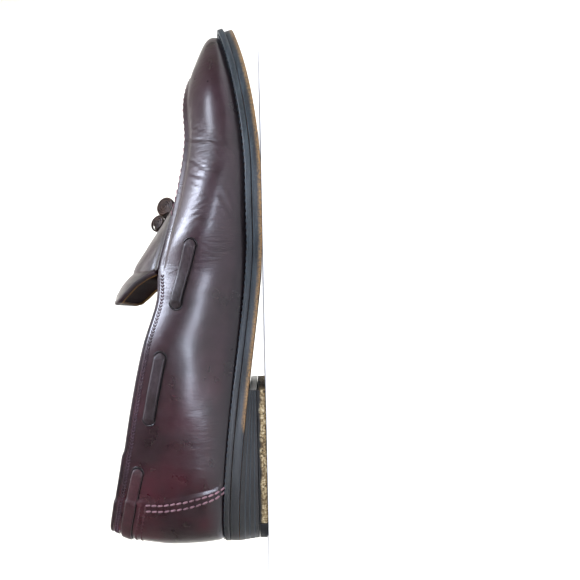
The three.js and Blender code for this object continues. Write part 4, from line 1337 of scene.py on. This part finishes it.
    def build(self) -> None:
        """Builds the sole's pieces."""
        self.outsole_piece()
        self.welt_piece()
        self.heel_piece()
        self.lift_piece("heel_top_piece", self.rubber_tip + 0.3, self.heel_length, "heel_top_lift",
                        "worn_leather", self.finishes.worn)
        self.lift_piece("heel_rubber", 0.0, self.rubber_tip, "heel_rubber_tip", "rubber", self.finishes.rubber)
        self.footbed_piece()


def strap(name: str, points: Array, normals: Array, width: float, thickness: float, columns: int,
          rounded: float = 0.0) -> bpy.types.Object:
    """A flat lace with rounded edges along a path.

    Args:
        name: the piece's name.
        points: the path, in metres of the row's frame.
        normals: outward normals along it.
        width: the lace's width in millimetres.
        thickness: its thickness in millimetres.
        columns: faces along it.
        rounded: length of its rounded ends in millimetres.

    Returns:
        The new piece.
    """
    walked = np.concatenate([[0.0], np.cumsum(np.linalg.norm(np.diff(points, axis=0), axis=1))])
    total = walked[-1] / MM
    steps = walked / walked[-1]
    tangent = unit(np.gradient(points, axis=0))

    def place(u: Array, v: Array) -> Array:
        """Points round the strip's section, with its ends rounded off."""
        if rounded:
            end = min(rounded / total, 0.3)
            near = np.array([0.0, 0.03, 0.18, 0.5, 1.0]) * end
            u = np.interp(u, [0, 0.03, 0.06, 0.09, 0.13, 0.87, 0.91, 0.94, 0.97, 1],
                          np.concatenate([near, 1 - near[::-1]]))

        def sample(values: Array) -> Array:
            """A table's values at the strip's own steps."""
            return np.stack([np.interp(u, steps, values[:, k]) for k in range(3)], axis=1)

        half = np.full(u.shape, width / 2)
        if rounded:
            from_end = np.minimum(u, 1 - u) * total
            half = half * np.sqrt(np.clip(1 - (1 - np.minimum(from_end / rounded, 1)) ** 2, 0.004, 1))
        normal = unit(sample(normals))
        side = unit(np.cross(sample(tangent), normal))
        angle = 2 * np.pi * v
        across = np.sign(np.cos(angle)) * np.abs(np.cos(angle)) ** 0.42 * half
        rise = np.sign(np.sin(angle)) * np.abs(np.sin(angle)) ** 0.75 * thickness / 2
        return sample(points) + (side * across[:, None] + normal * rise[:, None]) * MM

    return drape(name, columns, 24, place, sealed=True)


@dataclass
class CollarLace:
    """The lace that runs through the collar: two bars on each side and one round the heel."""

    last: Last
    upper: Upper
    finishes: Finishes
    width: float = 6.2
    thickness: float = 1.5
    lift: float = 0.85
    back_lift: float = 0.45
    dive: float = 1.0
    shade_rim: float = 0.5

    def bar(self, name: str, t: Array, height: Array, lift: float, leather: bpy.types.Material) -> tuple:
        """A bar whose rounded ends go down into the wall, over a near-black sheet that paints the shade of the
        groove it has pressed.

        Args:
            name: the bar's name.
            t: loop parameters along it.
            height: heights along it.
            lift: how far its middle stands off the wall.
            leather: its material.

        Returns:
            The two ends' points, their normals and the directions out of the bar.
        """
        v = self.last.height_share(t, height)
        point, normal, _ = self.upper.skin(np.mod(t, 1.0), v)
        surface = self.last.to_row(point)
        share = np.linspace(0, 1, len(t))
        length = np.sum(np.linalg.norm(np.diff(point, axis=0), axis=1))
        from_end = np.minimum(share, 1 - share) * length
        away = lift - self.dive * (1 - smooth(from_end, -0.2, 3.4))
        path = surface + normal * (away * MM)[:, None]
        piece = strap(name, path, normal, self.width, self.thickness, 110, rounded=self.width / 2)
        finish_piece(piece, "lace_leather", leather, stands_for=(name.replace("strap", "lace"),))
        directions = unit(np.stack([surface[0] - surface[3], surface[-1] - surface[-4]]))
        # The groove: a thin near-black sheet a little wider and longer than the bar, painted shade for the
        # pressed groove and the slits at its ends
        longer = np.concatenate([surface[:1] + directions[:1] * self.shade_rim * MM, surface,
                                 surface[-1:] + directions[1:] * self.shade_rim * MM])
        normals = np.concatenate([normal[:1], normal, normal[-1:]])
        wide = self.width + 2 * self.shade_rim
        groove = strap(name.replace("strap", "groove"), longer, normals, wide, 0.5, 110, rounded=wide / 2)
        finish_piece(groove, "leather", self.finishes.slit)
        inwards = directions * -self.width / 2 * MM
        return surface[[0, -1]] + inwards, normal[[0, -1]], directions

    def lips(self, centres: Array, normals: Array, directions: Array) -> None:
        """The lifted rim of leather round each rounded end."""
        side = unit(np.cross(normals, directions))
        bases = np.stack([directions, side, normals], axis=1)
        radius = self.width / 2 + self.shade_rim + 0.35

        def place(u: Array, v: Array) -> Array:
            """Points of one lip, round the bar's end and round the lip's own section."""
            turn = np.pi * (u - 0.5) * 0.92
            size = 0.42 * np.sin(np.pi * np.clip(u, 0.02, 0.98)) ** 0.5
            angle = 2 * np.pi * v
            out = radius + size * np.cos(angle)
            return np.stack([out * np.cos(turn), out * np.sin(turn), size * np.sin(angle) * 0.8], axis=1) * MM

        piece = copies("slit_lips", drape("slit_lip", 28, 8, place, sealed=True), centres, bases)
        finish_piece(piece, "leather", self.finishes.calf)

    def build(self) -> None:
        """Builds the bars, the near-black sheets of painted shade under them for their grooves, and the lips at
        their ends.
        """
        found = []
        for side in Side:
            for bar in BARS:
                t = side.value * np.linspace(row_t(bar.from_row), row_t(bar.to_row), 90)
                height = np.linspace(bar.from_height, bar.to_height, 90) * self.last.back_height
                name = f"collar_strap_{bar.name}_{side.name.lower()}"
                found.append(self.bar(name, t, height, self.lift, self.finishes.lace))
        share = np.linspace(-1, 1, 200)
        height = (BACK_BAR_CREST + (BACK_BAR_END - BACK_BAR_CREST) * share ** 2) * self.last.back_height
        found.append(self.bar("collar_strap_back", share * row_t(BACK_BAR_ROW), height, self.back_lift,
                              self.finishes.red_lace))
        ends, normals, directions = (np.concatenate(parts) for parts in zip(*found))
        self.lips(ends, normals, directions)


@dataclass(frozen=True)
class TasselPlace:
    """Where a tassel lies on the outer side of the vamp."""

    name: str
    from_row: float
    to_row: float
    start: float
    end: float
    knot_row: float


PLACES = (
    TasselPlace("inner", 9.15, 10.3, 0.16, 0.10, 8.95),
    TasselPlace("outer", 8.75, 9.85, -0.14, -0.34, 8.55),
)


@dataclass(frozen=True)
class Roll:
    """One roll of the knot: its row on the vamp, and its size as shares of the knot's."""

    row: float
    length: float
    height: float
    width: float
    turns: float
    finish: float


ROLLS = (Roll(8.80, 1.18, 1.0, 1.0, 4.2, -0.6), Roll(8.50, 0.84, 0.70, 0.8, 2.8, 2.2))


@dataclass
class KnotAndTassels:
    """The knot of rolled lace on the vamp, its two free ends and their tassels."""

    last: Last
    finishes: Finishes
    knot_width: float = 15.0
    knot_length: float = 12.0
    knot_height: float = 10.5
    lace_width: float = 5.5
    lace_thickness: float = 1.3
    tassel_length: float = 38.0
    cap_width: float = 10.0
    spread: float = 16.0
    depth: float = 6.0
    strips: int = 18
    cap_share: float = 0.26

    def skin_point(self, t: Array, share: Array) -> Array:
        """A place on the apron, or on the wall below its seam where the share is negative."""
        on_apron = self.last.apron_at(t, np.maximum(share, 0.0))
        on_wall = self.last.wall_at(t, 1 + np.minimum(share, 0.0))
        return np.where((share >= 0)[..., None], on_apron, on_wall)

    def tassel_frame(self, place: TasselPlace) -> tuple[Array, Array]:
        """Where a tassel's cap starts, and its axes: forward, side and up, as rows."""
        start = self.skin_point(np.array([row_t(place.from_row)]), np.array([place.start]))[0]
        end = self.skin_point(np.array([row_t(place.to_row)]), np.array([place.end]))[0]
        forward = unit(end - start)
        middle = np.array([row_t((place.from_row + place.to_row) / 2)])
        share = (place.start + place.end) / 2
        if share > 0:
            normal = self.last.apron_normal(middle, np.array([share]))[0]
        else:
            normal = self.last.wall_normal(middle, np.array([1 + share]))[0]
        side = unit(np.cross(normal, forward))
        axes = np.stack([forward, side, np.cross(forward, side)])
        t, across = np.meshgrid(row_t(1) * np.linspace(8, 12, 60), np.linspace(-0.7, 0.6, 60))
        skin = self.skin_point(t.ravel(), across.ravel())
        normals = np.where(
            (across.ravel() >= 0)[:, None],
            self.last.apron_normal(t.ravel(), np.clip(across.ravel(), 0.01, 0.99)),
            self.last.wall_normal(t.ravel(), 1 + np.minimum(across.ravel(), -0.001)),
        )
        ridge = 1.3 * bump(across.ravel() * 40, 2.0)
        local = (skin + normals * ridge[:, None] - start) @ axes.T
        x, y, z = local.T
        half = (self.cap_width + (self.spread - self.cap_width) * x / self.tassel_length) / 2 + 1
        near = (x > -1) & (x < self.tassel_length + 1) & (np.abs(y) < half)
        deep = np.where(x < self.tassel_length * self.cap_share + 2, 0.5, 0.32) * self.depth
        return start + axes[2] * ((z + deep)[near].max() + self.last.gap), axes

    def tassel(self, place: TasselPlace) -> bpy.types.Object:
        """One tassel: a bound cap and cut strips that fan out under it."""
        start, axes = self.tassel_frame(place)
        cap = self.tassel_length * self.cap_share

        def to_row(local: Array) -> Array:
            """Points of the tassel's own frame on the shoe."""
            return self.last.to_row(start + local @ axes)

        profile = np.array([(0, 0), (0, 0.3), (0.06, 0.4), (0.16, 0.44), (0.5, 0.5), (0.74, 0.46),
                            (0.8, 0.42), (0.86, 0.47), (1, 0.5), (1, 0.3)])
        walked = np.linspace(0, 1, len(profile))

        def cap_place(u: Array, v: Array) -> Array:
            """Points of the tassel's cap, round and along."""
            along = np.interp(v, walked, profile[:, 0]) * cap
            radius = np.interp(v, walked, profile[:, 1]) * self.cap_width
            radius += 0.22 * np.cos(along * 2 * np.pi / 1.9 + 2 * np.pi * u) * smooth(along, 1.0, 2.0)
            angle = 2 * np.pi * u
            flat = self.depth / self.cap_width
            return to_row(np.stack([along, radius * np.cos(angle), radius * np.sin(angle) * flat], axis=1))

        pieces = [drape(f"tassel_cap_{place.name}", 40, 36, cap_place, sealed=True)]
        rng = np.random.default_rng(7 if place.name == "inner" else 11)
        length = self.tassel_length - cap * 0.7
        per_row = self.strips // 2
        for i in range(self.strips):
            share = (i % per_row) / (per_row - 1) - 0.5
            level = -0.17 if i < per_row else 0.15
            wander, lift, cut = rng.uniform(-0.5, 0.5), rng.uniform(-0.25, 0.35), rng.uniform(-1.2, 0.4)

            def strip_place(u: Array, v: Array, share: float = share, level: float = level,
                            wander: float = wander, lift: float = lift, cut: float = cut) -> Array:
                """Points of one strip of the fringe, along and across."""
                along = cap * 0.7 + u * (length + cut)
                fan = share * (self.cap_width * 0.8 + (self.spread - self.cap_width) * 1.05 * u)
                across = fan + wander * u * u + (v - 0.5) * 1.75
                rise = level * self.depth + lift * np.sin(np.pi * u) + 0.35 - 0.35 * u
                return to_row(np.stack([along, across, rise], axis=1))

            strip = drape(f"tassel_strip_{place.name}_{i}", 10, 2, strip_place)
            thicken(strip, 0.85)
            pieces.append(strip)
        tassel = join(pieces, f"tassel_{place.name}_fringe")
        bpy.ops.object.shade_smooth_by_angle(angle=math.radians(35))
        finish_piece(tassel, "lace_leather", self.finishes.lace, stands_for=(f"tassel_{place.name}",))
        return tassel

    def lace_end(self, place: TasselPlace) -> None:
        """The free end from inside the knot over the apron into the tassel's cap."""
        start, axes = self.tassel_frame(place)
        knot_share = 0.5 - (self.knot_width / 2 + 2 * self.last.gap) / self.last.collar_width
        at_knot = self.last.apron_at(np.array([row_t(place.knot_row)]), np.array([knot_share]))[0]
        at_knot = at_knot + UP * self.knot_height / 2
        inside = at_knot + np.array([0.0, -5.0, 0.0])
        over_share = (knot_share + max(place.start, -knot_share / 2)) / 2
        middle = row_t((place.knot_row + place.from_row) / 2)
        over = self.last.apron_at(np.array([middle]), np.array([over_share]))[0] + UP * 2 * self.lace_thickness
        drop = -self.lace_thickness / 2
        behind = start + np.array([-self.lace_width, 0, drop]) @ axes
        cap = start + np.array([-0.6, 0, drop]) @ axes
        deep = start + np.array([6.5, 0, 0.0]) @ axes
        knots = np.stack([inside, at_knot, over, behind, cap, deep])
        walked = np.concatenate([[0], np.cumsum(np.linalg.norm(np.diff(knots, axis=0), axis=1))])
        share = np.linspace(0, walked[-1], 60)
        line = np.stack([np.interp(share, walked, knots[:, k]) for k in range(3)], axis=1)
        for _ in range(14):
            line[1:-1] = (line[:-2] + line[1:-1] * 2 + line[2:]) / 4
        turn = smooth(np.linspace(0, 1, 60), 0.1, 0.9)[:, None]
        normals = unit(UP * (1 - turn) + axes[2] * turn)
        path = self.last.to_row(line)
        width = self.lace_width * 0.6
        piece = strap(f"lace_tail_{place.name}", path, normals, width, self.lace_thickness, 60)
        finish_piece(piece, "lace_leather", self.finishes.lace, stands_for=(f"lace_end_{place.name}",))
        length = float(np.sum(np.linalg.norm(np.diff(path, axis=0), axis=1)))
        log.info("lace end %s: %.1f mm", place.name, length / MM)

    def roll_centre(self, roll: Roll) -> tuple[Array, Array, Array]:
        """A roll's centre and its forward and upward axes."""
        crest = self.last.apron_at(np.array([row_t(roll.row)]), np.array([0.5]))[0]
        ahead = self.last.apron_at(np.array([row_t(roll.row + 0.1)]), np.array([0.5]))[0]
        forward = unit((ahead - crest) * np.array([1, 0, 1]))
        up = np.array([-forward[2], 0, forward[0]])
        return crest + up * (roll.height * self.knot_height / 2 + 0.3), forward, up

    def knot(self) -> bpy.types.Object:
        """Two rolls of wound lace with a wrap over the rear one, joined to one knot."""
        pieces = []
        for number, roll in enumerate(ROLLS):
            centre, forward, up = self.roll_centre(roll)
            half = np.array([roll.length * self.knot_length, roll.height * self.knot_height]) / 2 - 0.3

            def place(u: Array, v: Array, centre: Array = centre, forward: Array = forward,
                      up: Array = up, half: Array = half, roll: Roll = roll) -> Array:
                """Points of one roll of the knot, along its winding and across."""
                angle = -2 * np.pi * roll.turns * u + roll.finish
                size = 0.06 + 0.94 * u
                width = roll.width * self.knot_width * (0.86 + 0.14 * u)
                across = (v - 0.5) * width
                round_off = 1 - 0.10 * np.abs(2 * v - 1) ** 4
                point = centre + forward * (np.cos(angle) * half[0] * size * round_off)[:, None]
                point = point + up * (np.sin(angle) * half[1] * size * round_off)[:, None]
                return self.last.to_row(point + np.array([0, 1, 0]) * across[:, None])

            piece = drape(f"knot_roll_{number}", 150, 14, place)
            thicken(piece, 1.0)
            soften(piece, 0.3, 2, 50)
            pieces.append(piece)
        centre, forward, up = self.roll_centre(ROLLS[1])
        angle = np.linspace(0, 2 * np.pi, 80)
        ring = centre + forward * (np.cos(angle) * 4.9)[:, None] + up * (np.sin(angle) * 3.7)[:, None]
        outward = unit(ring - centre)
        pieces.append(strap("knot_wrap", self.last.to_row(ring), outward, self.knot_width * 0.3, 1.0, 80))
        knot = join(pieces, "rolled_knot")
        finish_piece(knot, "lace_leather", self.finishes.knot, stands_for=("lace_knot",))
        return knot

    def build(self) -> None:
        """Builds the knot, the tassels and the lace ends."""
        carried = [self.knot()]
        for place in PLACES:
            carried.append(self.tassel(place))
            self.lace_end(place)
            carried = []


@dataclass(frozen=True)
class Softbox:
    """A rectangular light: where it hangs and aims, its size in metres, its watts and its colour."""

    name: str
    place: tuple[float, float, float]
    aim: tuple[float, float, float]
    size: tuple[float, float]
    power: float
    colour: str


SOFTBOXES = (
    Softbox("vamp", (0.155, -0.37, 0.63), (0.035, -0.04, 0.035), (0.13, 0.36), 6.6, "e2eaff"),
    Softbox("toe", (0.44, -0.475, 0.44), (0.08, -0.04, 0.023), (0.16, 0.14), 1.9, "e6eeff"),
    Softbox("quarter", (-0.10, -0.78, 0.075), (-0.045, -0.03, 0.03), (0.13, 0.10), 1.6, "e2eaff"),
    Softbox("soft", (0.0, -0.25, 0.95), (0.0, 0.0, 0.03), (0.9, 0.6), 4.5, "f1f4ff"),
    Softbox("backdrop", (0.0, 1.1, 1.0), (0.0, 2.5, 0.12), (1.8, 0.6), 66.0, "ffffff"),
    Softbox("floor_wash", (0.0, 0.6, 1.6), (0.0, 1.8, 0.0), (1.8, 0.6), 17.0, "ffffff"),
)


@dataclass
class Studio:
    """A pale floor that sweeps up all round, soft lights and the camera at the photo's angle.

    The camera's lens, sensor, distance, place along the shoe and height are in millimetres, its
    roll is a slope and its shift is in shares of the picture's width. The floor is in metres: flat
    out to its radius, then rising over the sweep's reach to its rise.
    """

    last: Last
    lens: float = 32.0
    sensor: float = 36.0
    roll: float = 0.0213
    distance: float = 306.0
    along: float = 130.4
    height: float = 1.5
    shift: tuple[float, float] = (0.05, 0.044)
    flat_share: float = 0.6
    flat_radius: float = 2.2
    sweep_reach: float = 0.9
    sweep_rise: float = 1.6

    def floor(self) -> None:
        """The floor and its sweep, as one round sheet."""
        def place(u: Array, v: Array) -> Array:
            """Points of the floor, round and outward."""
            angle = 2 * np.pi * u
            sweep = np.clip((v - self.flat_share) / (1 - self.flat_share), 0, 1) * np.pi / 2
            flat = self.flat_radius * np.minimum(v / self.flat_share, 1.0)
            radius = 0.02 + flat + self.sweep_reach * np.sin(sweep)
            rise = self.sweep_rise * (1 - np.cos(sweep))
            return np.stack([radius * np.cos(-angle), radius * np.sin(-angle), rise - 0.0002], axis=1)

        sheet = drape("floor", 96, 48, place)
        activate(sheet)
        bpy.ops.object.mode_set(mode="EDIT")
        bpy.ops.mesh.select_all(action="SELECT")
        bpy.ops.mesh.fill_holes(sides=96)
        bpy.ops.object.mode_set(mode="OBJECT")
        material = bpy.data.materials.new("studio_paper")
        material.use_nodes = True
        shader = material.node_tree.nodes["Principled BSDF"]
        shader.inputs["Base Color"].default_value = to_linear("d7d6d3")
        shader.inputs["Roughness"].default_value = 0.9
        shader.inputs["Specular IOR Level"].default_value = 0.1
        sheet.data.materials.append(material)

    def pose(self, right: Array, over: Array, back: Array, place: Array) -> Matrix:
        """The matrix of something that looks against back, from its axes and its place."""
        rows = [[right[k], over[k], back[k], place[k]] for k in range(3)]
        return Matrix(rows + [[0, 0, 0, 1]])

    def light(self, box: Softbox) -> None:
        """Hangs one soft rectangular light."""
        data = bpy.data.lights.new(box.name, "AREA")
        data.shape = "RECTANGLE"
        data.size, data.size_y = box.size
        data.energy = box.power
        data.color = to_linear(box.colour)[:3]
        lamp = bpy.data.objects.new(box.name, data)
        bpy.context.collection.objects.link(lamp)
        back = unit(np.array(box.place) - np.array(box.aim))
        right = unit(np.cross(UP, back) + np.array([1e-9, 0, 0]))
        lamp.matrix_world = self.pose(right, np.cross(back, right), back, box.place)

    def lights(self) -> None:
        """The lights that make the leather's highlights, the washes on the paper, and the room."""
        for box in SOFTBOXES:
            self.light(box)
        world = bpy.context.scene.world or bpy.data.worlds.new("room")
        bpy.context.scene.world = world
        world.use_nodes = True
        background = world.node_tree.nodes["Background"]
        background.inputs["Color"].default_value = to_linear("eef1f6")
        background.inputs["Strength"].default_value = 0.17

    def camera(self) -> None:
        """The camera beside the medial side, toe up in the picture, just above the floor."""
        data = bpy.data.cameras.new("camera")
        data.lens = self.lens
        data.sensor_width = self.sensor
        data.shift_x, data.shift_y = self.shift
        data.clip_start = 0.001
        camera = bpy.data.objects.new("camera", data)
        bpy.context.collection.objects.link(camera)
        turn = math.atan(self.roll)
        right = (-math.sin(turn), 0.0, -math.cos(turn))
        over = (math.cos(turn), 0.0, -math.sin(turn))
        back = (0.0, -1.0, 0.0)
        place = self.last.to_row(np.array([self.along, -self.distance, self.height]))
        camera.matrix_world = self.pose(right, over, back, place)
        bpy.context.scene.camera = camera

    def build(self) -> None:
        """Sets the stage."""
        self.floor()
        self.lights()
        self.camera()
        bpy.context.scene.view_settings.view_transform = "Standard"


def main() -> None:
    """Builds the shoe and its studio, in order."""
    logging.basicConfig(level=logging.INFO, format="%(message)s")
    last = Last()
    finishes = Finishes()
    Studio(last).build()
    upper = Upper(last, finishes)
    upper.build()
    Stitching(last, upper, finishes).build()
    Sole(last, finishes).build()
    CollarLace(last, upper, finishes).build()
    KnotAndTassels(last, finishes).build()


if __name__ == "__main__":
    main()
